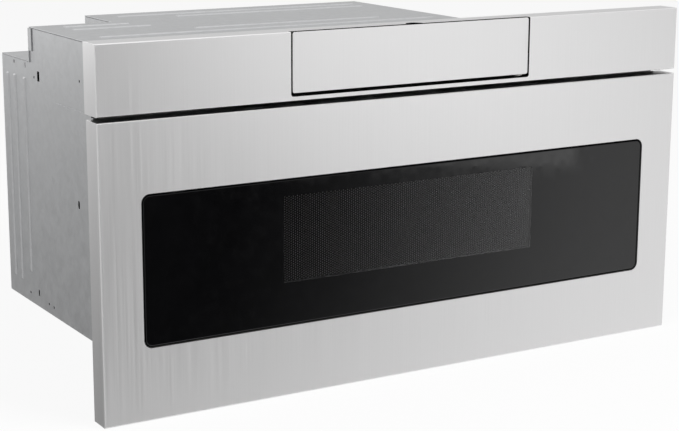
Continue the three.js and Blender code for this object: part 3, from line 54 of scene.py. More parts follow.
def at(x, y, z):
    """A point given in mm: from the middle, behind the front face, above the underside."""
    return Vector((x * MM, FRONT_Y + y * MM, z * MM))


# ------------------------------------------------------------------ materials
class Nodes:
    """Short calls for building a material's or the world's node tree."""

    def __init__(self, owner):
        owner.use_nodes = True
        self.tree = owner.node_tree

    def add(self, kind, inputs=(), **settings):
        node = self.tree.nodes.new(kind)
        for key, value in settings.items():
            setattr(node, key, value)
        for key, value in dict(inputs).items():
            self.put(node, key, value)
        return node

    def put(self, node, key, value):
        if isinstance(value, bpy.types.NodeSocket):
            self.tree.links.new(value, node.inputs[key])
        else:
            node.inputs[key].default_value = value

    def coords(self, scale):
        place = self.add("ShaderNodeTexCoord").outputs["Object"]
        inputs = {"Vector": place, "Scale": scale}
        return self.add("ShaderNodeMapping", inputs).outputs["Vector"]

    def noise(self, scale, detail=3.0, roughness=0.55):
        inputs = {
            "Vector": self.coords(scale),
            "Scale": 1.0,
            "Detail": detail,
            "Roughness": roughness,
        }
        return self.add("ShaderNodeTexNoise", inputs).outputs["Fac"]

    def ranged(self, value, low, high, start=0.3, end=0.7):
        inputs = {"Value": value, "From Min": start, "From Max": end, "To Min": low, "To Max": high}
        return self.add("ShaderNodeMapRange", inputs).outputs["Result"]

    def blend(self, factor, first, second):
        mixer = self.add("ShaderNodeMix", data_type="RGBA")
        self.put(mixer, 0, factor)
        self.put(mixer, 6, (*first, 1.0))
        self.put(mixer, 7, (*second, 1.0))
        return mixer.outputs[2]

    def mottle(self, value, color, spread):
        """A colour from a little darker to a little lighter, as the value goes from 0 to 1."""
        return self.blend(value, shade(color, 1 - spread), shade(color, 1 + spread))

    def math(self, operation, *values):
        node = self.add("ShaderNodeMath", operation=operation)
        for i, value in enumerate(values):
            self.put(node, i, value)
        return node.outputs[0]

    def bump(self, height, distance, strength):
        inputs = {"Height": height, "Distance": distance, "Strength": strength}
        return self.add("ShaderNodeBump", inputs).outputs["Normal"]


def surface(name, color, rough, bump=None, **settings):
    """A material: color, rough and bump are functions of its nodes; settings are fixed sockets."""
    material = bpy.data.materials.new(name)
    n = Nodes(material)
    shader = n.tree.nodes["Principled BSDF"]
    n.put(shader, "Base Color", color(n))
    n.put(shader, "Roughness", rough(n))
    if bump:
        n.put(shader, "Normal", bump(n))
    for key, value in settings.items():
        shader.inputs[key.replace("_", " ")].default_value = value
    return material


def shade(color, by):
    return tuple(min(1.0, c * by) for c in color)


def brushed(name, color, rough, grain, spread=0.04):
    """Brushed metal: fine streaks that run along the axis with the small grain number."""
    return surface(
        name,
        lambda n: n.mottle(n.ranged(n.noise(grain, 5.0, 0.7), 0.0, 1.0), color, spread),
        lambda n: n.ranged(n.noise(grain, 4.0), rough - 0.04, rough + 0.04),
        lambda n: n.bump(n.noise(grain, 4.0, 0.6), 0.00002, 0.35),
        Metallic=1.0,
    )


def moulded(name, color, rough, grain=900.0, height=0.00003, metallic=0.0, spread=0.05, **settings):
    """Moulded plastic, enamel or paint: a fine surface texture and a slight change of shade."""
    return surface(
        name,
        lambda n: n.mottle(n.ranged(n.noise((30, 30, 30)), 0.0, 1.0), color, spread),
        lambda n: n.ranged(n.noise((80, 80, 80)), rough - 0.05, rough + 0.05),
        lambda n: n.bump(n.noise((grain, grain, grain), 2.0), height, 0.4),
        Metallic=metallic,
        **settings,
    )


def zinc(name, color, rough):
    """Zinc-coated sheet: faint crystal spangle over rolling marks."""

    def spangle(n):
        inputs = {"Vector": n.coords((160, 160, 160)), "Scale": 1.0}
        cells = n.add("ShaderNodeTexVoronoi", inputs).outputs["Color"]
        grey = n.add("ShaderNodeRGBToBW", {"Color": cells}).outputs["Val"]
        return n.ranged(grey, 0.0, 1.0, 0.2, 0.8)

    return surface(
        name,
        lambda n: n.mottle(spangle(n), color, 0.025),
        lambda n: n.ranged(n.noise((60, 60, 60), 4.0), rough - 0.05, rough + 0.05),
        lambda n: n.bump(n.noise((300, 300, 12), 3.0), 0.00002, 0.25),
        Metallic=1.0,
    )


STAINLESS = (0.80, 0.796, 0.798)
MATERIALS = {
    "stainless": brushed("stainless", STAINLESS, 0.36, (700, 700, 5), 0.02),
    "galvanised": zinc("galvanised", (0.525, 0.53, 0.537), 0.44),
    "black_glass": moulded("black_glass", (0.0015, 0.0015, 0.0018), 0.06, 40, 0.000002, spread=0.2),
    "ceramic": moulded("ceramic", (0.82, 0.81, 0.77), 0.22, 400, 0.00001),
    "enamel": moulded("enamel", (0.62, 0.62, 0.60), 0.35, 350, 0.00004, spread=0.03),
    "screen_steel": moulded("screen_steel", (0.05, 0.05, 0.052), 0.45),
    "black_plastic": moulded("black_plastic", (0.03, 0.03, 0.032), 0.5),
    "grey_plastic": moulded("grey_plastic", (0.20, 0.20, 0.21), 0.5),
    "white_plastic": moulded("white_plastic", (0.80, 0.79, 0.75), 0.42),
    "seal_rubber": moulded("seal_rubber", (0.02, 0.02, 0.02), 0.75),
    "bare_aluminium": brushed("bare_aluminium", (0.72, 0.73, 0.74), 0.38, (8, 500, 500), 0.03),
    "motor_steel": moulded("motor_steel", (0.20, 0.20, 0.21), 0.42, 600, 0.00003, 0.8),
    "circuit_board": moulded("circuit_board", (0.05, 0.20, 0.09), 0.4, 500, 0.00005, spread=0.2),
}

for row in frame["record"]["subparts"]:
    node = nodes[row["node"]]
    node.data.materials.clear()
    node.data.materials.append(MATERIALS[row["material_slot"]])

# ------------------------------------------------------------------ painted shade on faces of the CAD nodes
SHADOW_BLACK = moulded("shadow_black", (0.006, 0.006, 0.006), 0.6, Specular_IOR_Level=0.2)
# Painted shade: a darker zinc for the steps round the side panels' raised field.
ZINC_STEP_SHADE = zinc("galvanised_step_shade", (0.34, 0.345, 0.35), 0.5)

SIDE_PANELS = ("left_side_panel", "right_side_panel")
SIDE_FACE_X = 269.6  # just outside the side panels' sheet, so only what is raised lies past it
# Where the side panels' slots and holes lie; the sheets' outer edges are outside it and stay bare.
HOLES_Y = (34.0, 570.0)
HOLES_Z = (3.0, 322.0)
NEAR_FACE = 0.5  # how close to an outer face, in mm, the middle of a polygon on it is
FACING = 0.5  # a normal's share along an axis, over which a face looks that way
SQUARE_ON = 0.99


def darken(name, chosen, look=SHADOW_BLACK):
    """Gives the faces of a CAD node where chosen(centre in mm, normal) is true a dark look: painted
    shade.
    """
    node = nodes[name]
    node.data.materials.append(look)
    for face in node.data.polygons:
        centre = node.matrix_world @ face.center
        place = (centre.x / MM, (centre.y - FRONT_Y) / MM, centre.z / MM)
        if chosen(place, face.normal):
            face.material_index = len(node.data.materials) - 1


fascia_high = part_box("fascia_panel")[1]


def fascia_hidden(place, normal):
    """The fascia's inside and underside, which take painted shade; its front, ends and top stay bare.
    """
    x, y, z = place
    front = y < NEAR_FACE and normal.y < -FACING
    ends = abs(x) > fascia_high.x / MM - NEAR_FACE and abs(normal.x) > FACING
    top = z > fascia_high.z / MM - NEAR_FACE and normal.z > FACING
    return not (front or ends or top)


def hole_wall(place, normal):
    """The walls of a side panel's slots and holes, painted black as shade."""
    x, y, z = place
    inside = HOLES_Y[0] < y < HOLES_Y[1] and HOLES_Z[0] < z < HOLES_Z[1]
    return abs(x) < SIDE_FACE_X and abs(normal.x) < FACING and inside


def field_step_shade(place, normal):
    """The upright and level steps round a side panel's raised field and its hole: painted shade, in a
    darker and slightly rougher zinc.
    """
    square_on = abs(normal.y) > SQUARE_ON or abs(normal.z) > SQUARE_ON
    return abs(place[0]) > SIDE_FACE_X and abs(normal.x) < FACING and square_on


# Painted shade: the fascia's hidden faces, the rear sheet's front, the control face's sides and back,
# the whole vent grille and the hole walls are shadow black.
darken("fascia_panel", fascia_hidden)
darken("fascia_back", lambda place, normal: normal.y < FACING)
darken("control_face", lambda place, normal: normal.y > -FACING)
darken("vent_grille", lambda place, normal: True)
for name in SIDE_PANELS:
    darken(name, hole_wall)
    darken(name, field_step_shade, ZINC_STEP_SHADE)

# ------------------------------------------------------------------ softened edges
# The edges of these sheets and mouldings are a little rounded, by modifiers on the CAD nodes.
WELD_GAP = 0.01
FLAT_ANGLE = math.radians(0.5)
SHARP_ANGLE = math.radians(25)
EDGE_ROUNDING = {
    "fascia_panel": 0.35,
    "drawer_front": 0.35,
    "control_face": 0.25,
    "control_housing": 0.5,
    "top_cover": 0.3,
    "left_side_panel": 0.3,
    "right_side_panel": 0.3,
    "notch_cover": 0.3,
    "rear_cover": 0.3,
    "front_frame": 0.3,
    "base_pan": 0.3,
    "drawer_tub": 0.4,
    "oven_cavity": 0.4,
    "choke_frame": 0.5,
    "ceramic_floor": 0.6,
    "drawer_back": 0.3,
    "cord_gland": 0.6,
}
for name, width in EDGE_ROUNDING.items():
    node = nodes[name]
    node.data.polygons.foreach_set("use_smooth", [True] * len(node.data.polygons))
    weld = node.modifiers.new("weld", "WELD")
    weld.merge_threshold = WELD_GAP * MM
    # The side panels' long triangles are merged first, or the rounding shows them as diagonals.
    # Shells aren't, since the rim round an open back would become one face that closes it.
    if name in SIDE_PANELS:
        flats = node.modifiers.new("flats", "DECIMATE")
        flats.decimate_type = "DISSOLVE"
        flats.angle_limit = FLAT_ANGLE
    bevel = node.modifiers.new("rounded", "BEVEL")
    bevel.width = width * MM
    bevel.segments = 2
    bevel.limit_method = "ANGLE"
    bevel.angle_limit = SHARP_ANGLE
    bevel.use_clamp_overlap = True
    normals = node.modifiers.new("normals", "WEIGHTED_NORMAL")
    normals.keep_sharp = False


def piece(name, bm, material, body):
    """Makes a bmesh into a piece that rides on a body, in a material named by its record slot or given
    as it is.
    """
    mesh = bpy.data.meshes.new(name)
    bmesh.ops.recalc_face_normals(bm, faces=bm.faces)
    bm.to_mesh(mesh)
    bm.free()
    obj = bpy.data.objects.new(name, mesh)
    bpy.context.scene.collection.objects.link(obj)
    finish = MATERIALS[material] if isinstance(material, str) else material
    mesh.materials.append(finish)
    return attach(obj, body)


def rounded_loop(x, z, r, steps=6):
    """Corners of a rounded rectangle, as pairs, anticlockwise from its lower right."""
    loop = []
    for cx, cz, start in (
        (x[1] - r, z[0] + r, -90),
        (x[1] - r, z[1] - r, 0),
        (x[0] + r, z[1] - r, 90),
        (x[0] + r, z[0] + r, 180),
    ):
        for i in range(steps + 1):
            a = math.radians(start + 90 * i / steps)
            loop.append((cx + r * math.cos(a), cz + r * math.sin(a)))
    return loop


def stack(bm, rings, cap=True):
    """Joins rings of points into a skin; its ends are capped, or joined to each other."""
    rows = [[bm.verts.new(p) for p in ring] for ring in rings]
    pairs = list(zip(rows, rows[1:]))
    if not cap:
        pairs.append((rows[-1], rows[0]))
    for low, high in pairs:
        count = len(low)
        for i in range(count):
            j = (i + 1) % count
            bm.faces.new((low[i], low[j], high[j], high[i]))
    if cap:
        bm.faces.new(rows[0][::-1])
        bm.faces.new(rows[-1])


def rectangle(x, z):
    """The corners of a rectangle, anticlockwise from its lower left."""
    return [(x[0], z[0]), (x[1], z[0]), (x[1], z[1]), (x[0], z[1])]


def upright(loop, y):
    """Pairs in x and z as points at one distance behind the front."""
    return [at(x, y, z) for x, z in loop]


# ------------------------------------------------------------------ window
def span(low, high, axis):
    """From where to where a box reaches in x or z, in mm."""
    return (low[axis] / MM, high[axis] / MM)


def depth_span(low, high):
    """From where to where a box reaches behind the front face, in mm."""
    return ((low.y - FRONT_Y) / MM, (high.y - FRONT_Y) / MM)


glass_low, glass_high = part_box("window_glass")
GLASS_X = span(glass_low, glass_high, 0)
GLASS_Z = span(glass_low, glass_high, 2)
GLASS_Y = depth_span(glass_low, glass_high)
GLASS_R = 8.5
VIEW_X = (-167.0, 167.0)
VIEW_Z = (128.5, 225.0)
VIEW_R = 2.0
PANE_GAP = 0.02
GLASS_EDGE = 0.6
GLASS_EDGE_TURN = 0.18
GASKET_SHOWN = 1.3
SCREEN_Y = depth_span(*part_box("screen_plate"))
FILM_MARGIN = 3.0
FILM_GAP = 0.03
FILM_T = 0.15
FILM_R = 1.0


def glass_border():
    """The blackened edge of the window glass, round the clear middle."""
    bm = bmesh.new()
    front, back = GLASS_Y
    turn = GLASS_EDGE_TURN
    profile = ((GLASS_EDGE, front), (turn, front + turn), (0.0, front + GLASS_EDGE), (0.0, back))
    rings = []
    for inset, y in profile:
        inset += GASKET_SHOWN
        x = (GLASS_X[0] + inset, GLASS_X[1] - inset)
        z = (GLASS_Z[0] + inset, GLASS_Z[1] - inset)
        rings.append(upright(rounded_loop(x, z, GLASS_R - inset), y))
    inner = rounded_loop(VIEW_X, VIEW_Z, VIEW_R)
    stack(bm, rings + [upright(inner, back), upright(inner, front)], cap=False)
    return bm


def clear_pane():
    """The clear middle of the window glass, through which the screen shows."""
    bm = bmesh.new()
    x = (VIEW_X[0] + PANE_GAP, VIEW_X[1] - PANE_GAP)
    z = (VIEW_Z[0] + PANE_GAP, VIEW_Z[1] - PANE_GAP)
    loop = rounded_loop(x, z, VIEW_R - PANE_GAP)
    stack(bm, [upright(loop, GLASS_Y[0]), upright(loop, GLASS_Y[1] - PANE_GAP)])
    return bm


def backing_film():
    """The grey film behind the screen, a little larger than the clear pane."""
    bm = bmesh.new()
    x = (VIEW_X[0] - FILM_MARGIN, VIEW_X[1] + FILM_MARGIN)
    z = (VIEW_Z[0] - FILM_MARGIN, VIEW_Z[1] + FILM_MARGIN)
    loop = rounded_loop(x, z, FILM_R)
    front = SCREEN_Y[1] + FILM_GAP
    stack(bm, [upright(loop, front), upright(loop, front + FILM_T)])
    return bm


HOLE_PITCH = 2.7
HOLE_R = 0.95
HOLES_IN_LINE = 35
LINES = 127
LINE_SPACING = 2.63
SAME_LINE = 1e-6
# Corners of a hole's cell, clockwise from its top: half pitches up and half spacings across.
CELL_CORNERS = [(1, 0), (1, 1), (0, 1), (-1, 1), (-1, 0), (-1, -1), (0, -1), (1, -1)]
# The corners of a hole's cell that each side of the hole is joined to, from its top on.
CELL_SIDES = [(0, 1), (1, 2, 3), (3, 4), (4, 5), (5, 6, 7), (7, 0)]


def perforated_screen():
    """The sheet behind the glass: upright lines of six-sided holes, every other line half a step up."""
    half, half_line = HOLE_PITCH / 2, LINE_SPACING / 2
    height = (HOLES_IN_LINE + 0.5) * HOLE_PITCH
    bottom = sum(VIEW_Z) / 2 - height / 2
    left = sum(VIEW_X) / 2 - LINES * half_line
    field_x, field_z = (left, left + 2 * LINES * half_line), (bottom, bottom + height)
    bm = bmesh.new()
    known = {}

    def vert(x, y, z):
        key = (round(x, 3), round(y, 3), round(z, 3))
        if key not in known:
            known[key] = bm.verts.new(at(x, y, z))
        return known[key]

    def walls(loop):
        """The faces from the sheet's front to its back along a loop."""
        near, far = ([vert(x, y, z) for x, z in loop] for y in SCREEN_Y)
        for i in range(len(loop)):
            j = (i + 1) % len(loop)
            bm.faces.new((near[i], near[j], far[j], far[i]))

    def cell_with_hole(x, z):
        cell = [(x + w * half_line, z + u * half) for u, w in CELL_CORNERS]
        turns = [i * math.pi / 3 for i in range(6)]
        hole = [(x + HOLE_R * math.sin(a), z + HOLE_R * math.cos(a)) for a in turns]
        for y in SCREEN_Y:
            ring = [vert(u, y, w) for u, w in cell]
            rim = [vert(u, y, w) for u, w in hole]
            for i, corners in enumerate(CELL_SIDES):
                bm.faces.new([rim[(i + 1) % 6], rim[i]] + [ring[c] for c in corners])
        walls(hole)

    def half_cell(x, inner, outer):
        """The blank half cell that is left over at one end of a line."""
        for y in SCREEN_Y:
            ends = [(-1, outer), (-1, inner), (0, inner), (1, inner), (1, outer)]
            bm.faces.new([vert(x + w * half_line, y, z) for w, z in ends])

    for line in range(LINES):
        x = left + (2 * line + 1) * half_line
        shift = half * (line % 2)
        for k in range(HOLES_IN_LINE):
            cell_with_hole(x, bottom + shift + (k + 0.5) * HOLE_PITCH)
        if shift == 0:
            half_cell(x, field_z[1] - half, field_z[1])
        else:
            half_cell(x, bottom + half, bottom)

    # the plain margin round the holes: four faces, each from one edge of the sheet to the holes
    low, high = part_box("screen_plate")
    plate = rectangle(span(low, high, 0), span(low, high, 2))
    field = rectangle(field_x, field_z)
    for y in SCREEN_Y:
        edge_points = [v for (x, w, z), v in known.items() if w == round(y, 3)]
        for i in range(4):
            j = (i + 1) % 4
            across, along = (2, 0) if i % 2 == 0 else (0, 2)
            line = at(field[i][0], y, field[i][1])[across]
            side = [v for v in edge_points if abs(v.co[across] - line) < SAME_LINE]
            side.sort(key=lambda v: v.co[along], reverse=i in (0, 1))
            corners = [vert(plate[i][0], y, plate[i][1]), vert(plate[j][0], y, plate[j][1])]
            bm.faces.new(corners + side)
    walls(plate)
    return bm


SMOKED = surface(
    "smoked_glass",
    lambda n: n.blend(
        n.ranged(n.noise((20, 20, 20)), 0.0, 1.0),
        (0.60, 0.60, 0.61),
        (0.62, 0.62, 0.63),
    ),
    lambda n: n.ranged(n.noise((40, 40, 40)), 0.015, 0.03),
    Transmission_Weight=1.0,
    IOR=1.5,
)
SCREEN_PAINT = moulded("screen_paint", (0.008, 0.008, 0.009), 0.6, Specular_IOR_Level=0.1)
SCREEN_FILM = moulded("screen_film", (0.42, 0.42, 0.43), 0.45, 500, 0.000005)

border = piece("window_border", glass_border(), "black_glass", "drawer")
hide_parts("window_glass")
pane = piece("window_pane", clear_pane(), SMOKED, "drawer")
screen = piece("window_mesh", perforated_screen(), SCREEN_PAINT, "drawer")
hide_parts("screen_plate")
film = piece("screen_film", backing_film(), SCREEN_FILM, "drawer")

# ------------------------------------------------------------------ reveal under the fascia
grille_low, grille_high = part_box("vent_grille")
GRILLE_X = span(grille_low, grille_high, 0)
GRILLE_Y = depth_span(grille_low, grille_high)
GRILLE_Z = span(grille_low, grille_high, 2)
REVEAL_END = 372.0
SEAL_FRONT = 29.6
SEAL_GAP = 1.0


def reveal_seals():
    """Black foam strips that close the reveal on both sides of the vent grille."""
    bm = bmesh.new()
    for x in ((-REVEAL_END, GRILLE_X[0] - SEAL_GAP), (GRILLE_X[1] + SEAL_GAP, REVEAL_END)):
        corners = rectangle(x, GRILLE_Z)
        stack(bm, [upright(corners, SEAL_FRONT), upright(corners, GRILLE_Y[1])])
    return bm


piece("reveal_seals", reveal_seals(), "seal_rubber", "chassis")

# ------------------------------------------------------------------ fasteners
SCREW_R = 4.2
SCREW_H = 1.5
# The head's outline from the sheet out: shares of its radius and of its height.
SCREW_PROFILE = ((1.0, 0.0), (1.0, 0.6), (0.85, 0.9), (0.6, 1.0))
SCREW_X = (-258.0, -86.0, 86.0, 258.0)
SCREW_ROWS_Z = (13.0, 308.0)
SCREW_MIDDLE_Z = 160.0
SCREW_PLACES = [(x, z) for z in SCREW_ROWS_Z for x in SCREW_X]
SCREW_PLACES += [(SCREW_X[0], SCREW_MIDDLE_Z), (SCREW_X[-1], SCREW_MIDDLE_Z)]
CROSS_HALF = 1.9
CROSS_W = 0.45
CROSS_SUNK = 0.2
CROSS_PROUD = 0.03
REAR_Y = depth_span(*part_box("rear_cover"))[1]


def disc(x, z, r, steps=20):
    turns = [math.tau * i / steps for i in range(steps)]
    return [(x + r * math.cos(a), z + r * math.sin(a)) for a in turns]


def rear_screws():
    """Pan-head screws that hold the rear cover."""
    bm = bmesh.new()
    for x, z in SCREW_PLACES:
        rings = []
        for across, rise in SCREW_PROFILE:
            rings.append(upright(disc(x, z, across * SCREW_R), REAR_Y + rise * SCREW_H))
        stack(bm, rings)
    return bm


def screw_cross_shades():
    """The cross in each screw head, a black piece a little proud of it: painted shade for the recess.
    """
    bm = bmesh.new()
    face = REAR_Y + SCREW_H
    end, side = CROSS_HALF, CROSS_W
    cross = [(side, -end), (side, -side), (end, -side), (end, side), (side, side), (side, end)]
    cross += [(-u, -w) for u, w in cross]
    for x, z in SCREW_PLACES:
        loop = [(x + u, z + w) for u, w in cross]
        stack(bm, [upright(loop, face - CROSS_SUNK), upright(loop, face + CROSS_PROUD)])
    return bm


piece("rear_screws", rear_screws(), "motor_steel", "chassis")
# Painted shade: black crosses stand in for the shaded recesses of the screw heads.
piece("screw_recess_shade", screw_cross_shades(), "black_plastic", "chassis")

# ------------------------------------------------------------------ keypad
KEYPAD_ANGLE = math.radians(33.7)
keypad_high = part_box("keypad_glass")[1]
KEYPAD_LENGTH = 45.0
# The glass's upper face: its top edge is the box's highest line.
SLOPE_Y = (keypad_high.y - FRONT_Y) / MM - KEYPAD_LENGTH * math.sin(KEYPAD_ANGLE)
SLOPE_Z = keypad_high.z / MM
PRINT_LIFT = 0.02
PRINT_T = 0.02
PRINT_LINE = 0.35
# Places along the slope, from its top edge down. A user who looks at the tilted panel sees the
# far row as the upper one.
NEAR_ROW = 13.0
FAR_ROW = 31.5
KEY_ROWS = (NEAR_ROW, FAR_ROW)
KEY_W = 13.0
KEY_H = 13.0
WIDE_KEY_W = 20.0
KEY_R = 2.0
KEY_PITCH = 17.0
SIGN_COLUMNS = [-128.0 + i * KEY_PITCH for i in range(5)]
DIGITS_X = 22.0
ACTION_X = 112.0
CLOCK_X = -24.0
CLOCK_H = 14.0
DIGIT_H = 7.5
SIGN_H = 8.0
SIGN_LINE = 0.5
ACTION_LINE = 0.6
HAND_LINE = 0.24
LEVEL_LINE = 0.28


def keypad_matrix(x, down):
    """A frame on the keypad: x across, y up the keys as a user sees them, z out of the glass."""
    across = Vector((1, 0, 0))
    up = Vector((0, math.sin(KEYPAD_ANGLE), -math.cos(KEYPAD_ANGLE)))
    out = Vector((0, math.cos(KEYPAD_ANGLE), math.sin(KEYPAD_ANGLE)))
    origin = at(
        x,
        SLOPE_Y + down * math.sin(KEYPAD_ANGLE) + PRINT_LIFT * math.cos(KEYPAD_ANGLE),
        SLOPE_Z - down * math.cos(KEYPAD_ANGLE) + PRINT_LIFT * math.sin(KEYPAD_ANGLE),
    )
    turn = Matrix((across, up, out)).transposed().to_4x4()
    return Matrix.Translation(origin) @ turn


def text_into(bm, words, x, down, height):
    """Adds printed digits or signs to a mesh, centred at a place on the keypad."""
    curve = bpy.data.curves.new("words", "FONT")
    curve.body = words
    curve.size = height * MM
    curve.align_x = "CENTER"
    curve.align_y = "CENTER"
    curve.extrude = PRINT_T / 2 * MM
    curve.resolution_u = 3
    holder = bpy.data.objects.new("words", curve)
    bpy.context.scene.collection.objects.link(holder)
    bpy.context.view_layer.update()
    mesh = bpy.data.meshes.new_from_object(holder.evaluated_get(bpy.context.evaluated_depsgraph_get()))
    mesh.transform(keypad_matrix(x, down))
    bm.from_mesh(mesh)
    bpy.data.objects.remove(holder)
    bpy.data.meshes.remove(mesh)
    bpy.data.curves.remove(curve)


def outline_into(bm, points, x, down, width=PRINT_LINE):
    """Adds a printed outline through points (mm, from a place on the keypad), as a thin band."""
    place = keypad_matrix(x, down)
    count = len(points)
    normals = []
    for i in range(count):
        before = Vector(points[i]) - Vector(points[i - 1])
        after = Vector(points[(i + 1) % count]) - Vector(points[i])
        side = (before.normalized() + after.normalized()).normalized()
        normals.append(Vector((side.y, -side.x)))
    rings = []
    for offset, lift in ((0, 0), (width, 0), (width, PRINT_T), (0, PRINT_T)):
        ring = []
        for point, normal in zip(points, normals):
            p = Vector(point) - normal * offset
            ring.append(place @ Vector((p.x * MM, p.y * MM, lift * MM)))
        rings.append(ring)
    stack(bm, rings, cap=False)


def key_outline(width):
    """The rounded outline of a key, as wide as asked and as tall as every key."""
    return rounded_loop((-width / 2, width / 2), (-KEY_H / 2, KEY_H / 2), KEY_R, 4)


def keypad_print():
    """The digits, the start and stop signs, and the outline of every key."""
    bm = bmesh.new()
    key = key_outline(KEY_W)
    for down, row_digits in ((FAR_ROW, "12345"), (NEAR_ROW, "67890")):
        for i, digit in enumerate(row_digits):
            x = DIGITS_X + i * KEY_PITCH
            text_into(bm, digit, x, down, DIGIT_H)
            outline_into(bm, key, x, down)
    wide = key_outline(WIDE_KEY_W)
    for down in KEY_ROWS:
        outline_into(bm, wide, ACTION_X, down)
    triangle = [(-2.6, -3.0), (3.2, 0.0), (-2.6, 3.0)]
    outline_into(bm, triangle, ACTION_X, FAR_ROW, ACTION_LINE)
    square = rectangle((-2.8, 2.8), (-2.8, 2.8))
    outline_into(bm, square, ACTION_X, NEAR_ROW, ACTION_LINE)
    for x in SIGN_COLUMNS:
        for down in KEY_ROWS:
            outline_into(bm, key, x, down)
    return bm


def keypad_symbols():
    """Plain signs on the left keys, column by column."""
    bm = bmesh.new()
    plus_x, clock_x, arrow_x, *line_columns = SIGN_COLUMNS
    text_into(bm, "+", plus_x, FAR_ROW, SIGN_H)
    text_into(bm, "-", plus_x, NEAR_ROW, SIGN_H)
    # a clock with its two hands, over three bars that grow
    turns = [math.tau * i / 24 for i in range(24)]
    ring = [(3.2 * math.cos(a), 3.2 * math.sin(a)) for a in turns]
    outline_into(bm, ring, clock_x, FAR_ROW, SIGN_LINE)
    outline_into(bm, rectangle((-0.25, 0.25), (-0.3, 2.2)), clock_x, FAR_ROW, HAND_LINE)
    outline_into(bm, rectangle((-0.3, 1.8), (-0.3, 0.2)), clock_x, FAR_ROW, HAND_LINE)
    for i, height in enumerate((1.6, 2.8, 4.0)):
        bar = rectangle((-0.7, 0.7), (-2.2, height - 2.2))
        outline_into(bm, bar, clock_x + (i - 1) * 2.2, NEAR_ROW, SIGN_LINE)
    # an arrow up over an arrow down
    for down, sign in ((FAR_ROW, 1), (NEAR_ROW, -1)):
        points = [(-2.8, -1.4 * sign), (0, 1.6 * sign), (2.8, -1.4 * sign)]
        outline_into(bm, points[::sign], arrow_x, down, SIGN_LINE)
    # one line over two lines, on both of the last columns
    for x in line_columns:
        for down, count in ((FAR_ROW, 1), (NEAR_ROW, 2)):
            for i in range(count):
                z = (i - (count - 1) / 2) * 2.6
                bar = rectangle((-3, 3), (z - 0.3, z + 0.3))
                outline_into(bm, bar, x, down, LEVEL_LINE)
    return bm


WHITE_PRINT = moulded("white_print", (0.55, 0.56, 0.57), 0.4, 500, 0.000005)
DISPLAY_LIT = surface(
    "display_digits",
    lambda n: n.blend(
        n.ranged(n.noise((200, 200, 200)), 0.0, 1.0),
        (0.35, 0.62, 0.68),
        (0.40, 0.68, 0.74),
    ),
    lambda n: n.ranged(n.noise((200, 200, 200)), 0.35, 0.45),
)
for name, made in (("keypad_digits", keypad_print()), ("keypad_signs", keypad_symbols())):
    marks = piece(name, made, WHITE_PRINT, "control_panel")
digits = bmesh.new()
text_into(digits, "12:00", CLOCK_X, FAR_ROW, CLOCK_H)
clock = piece("display_time", digits, DISPLAY_LIT, "control_panel")

# ------------------------------------------------------------------ camera
# The place and lens were worked out from the photograph's straight edges.
PHOTO_W = 679
PHOTO_H = 431
FOCAL_PX = 1667.33
CENTRE_PX = (330.695, 209.728)
PAN = math.radians(-30.585)
TILT = math.radians(-12.492)
ROLL = math.radians(0.153)
CAMERA_AT = at(-1013.403, -1531.644, 598.129)

forward = Vector((-math.sin(PAN) * math.cos(TILT), math.cos(PAN) * math.cos(TILT), math.sin(TILT)))
level = Vector((math.cos(PAN), math.sin(PAN), 0))
upward = level.cross(forward)
right = level * math.cos(ROLL) + upward * math.sin(ROLL)
top = upward * math.cos(ROLL) - level * math.sin(ROLL)

lens = bpy.data.cameras.new("camera")
lens.sensor_width = 36
lens.lens = FOCAL_PX * lens.sensor_width / PHOTO_W
lens.shift_x = (PHOTO_W / 2 - CENTRE_PX[0]) / PHOTO_W
lens.shift_y = (CENTRE_PX[1] - PHOTO_H / 2) / PHOTO_W
lens.clip_start = 0.01
lens.clip_end = 100
camera = bpy.data.objects.new("camera", lens)
turn = Matrix((right, top, -forward)).transposed().to_4x4()
camera.matrix_world = Matrix.Translation(CAMERA_AT) @ turn
bpy.context.scene.collection.objects.link(camera)
bpy.context.scene.camera = camera


# ------------------------------------------------------------------ floor, light
def compass(azimuth, elevation):
    """A direction: azimuth 0 is straight ahead of the front (-Y), 90 is the object's right (+X)."""
    a, e = math.radians(azimuth), math.radians(elevation)
    return Vector((math.sin(a) * math.cos(e), -math.cos(a) * math.cos(e), math.sin(e)))


# The studio that metal and glass mirror: soft glows (direction, sharpness, strength) on a dim
# surround, none brighter than its white walls, and the dark wall ahead that the window shows
# (direction, inner and outer angle, the share of light left, and how much flatter it is).
STUDIO_BASE = 0.05
STUDIO_WHITE = 1.4
STUDIO_GLOWS = [
    (compass(-167, 6), 46.0, 4.0),
    (compass(-106, 10), 16.3, 4.15),
    (compass(30, -48), 5.0, 4.4),
    (compass(-57, 4), 4.8, 0.65),
    (compass(-135, 82), 2.8, 4.2),
    (compass(118, -30), 4.5, 0.6),
]
DARK_WALL = (compass(14, -10.5), 12.5, 26.5, 0.03, 1.2)
AMBIENT = 0.5


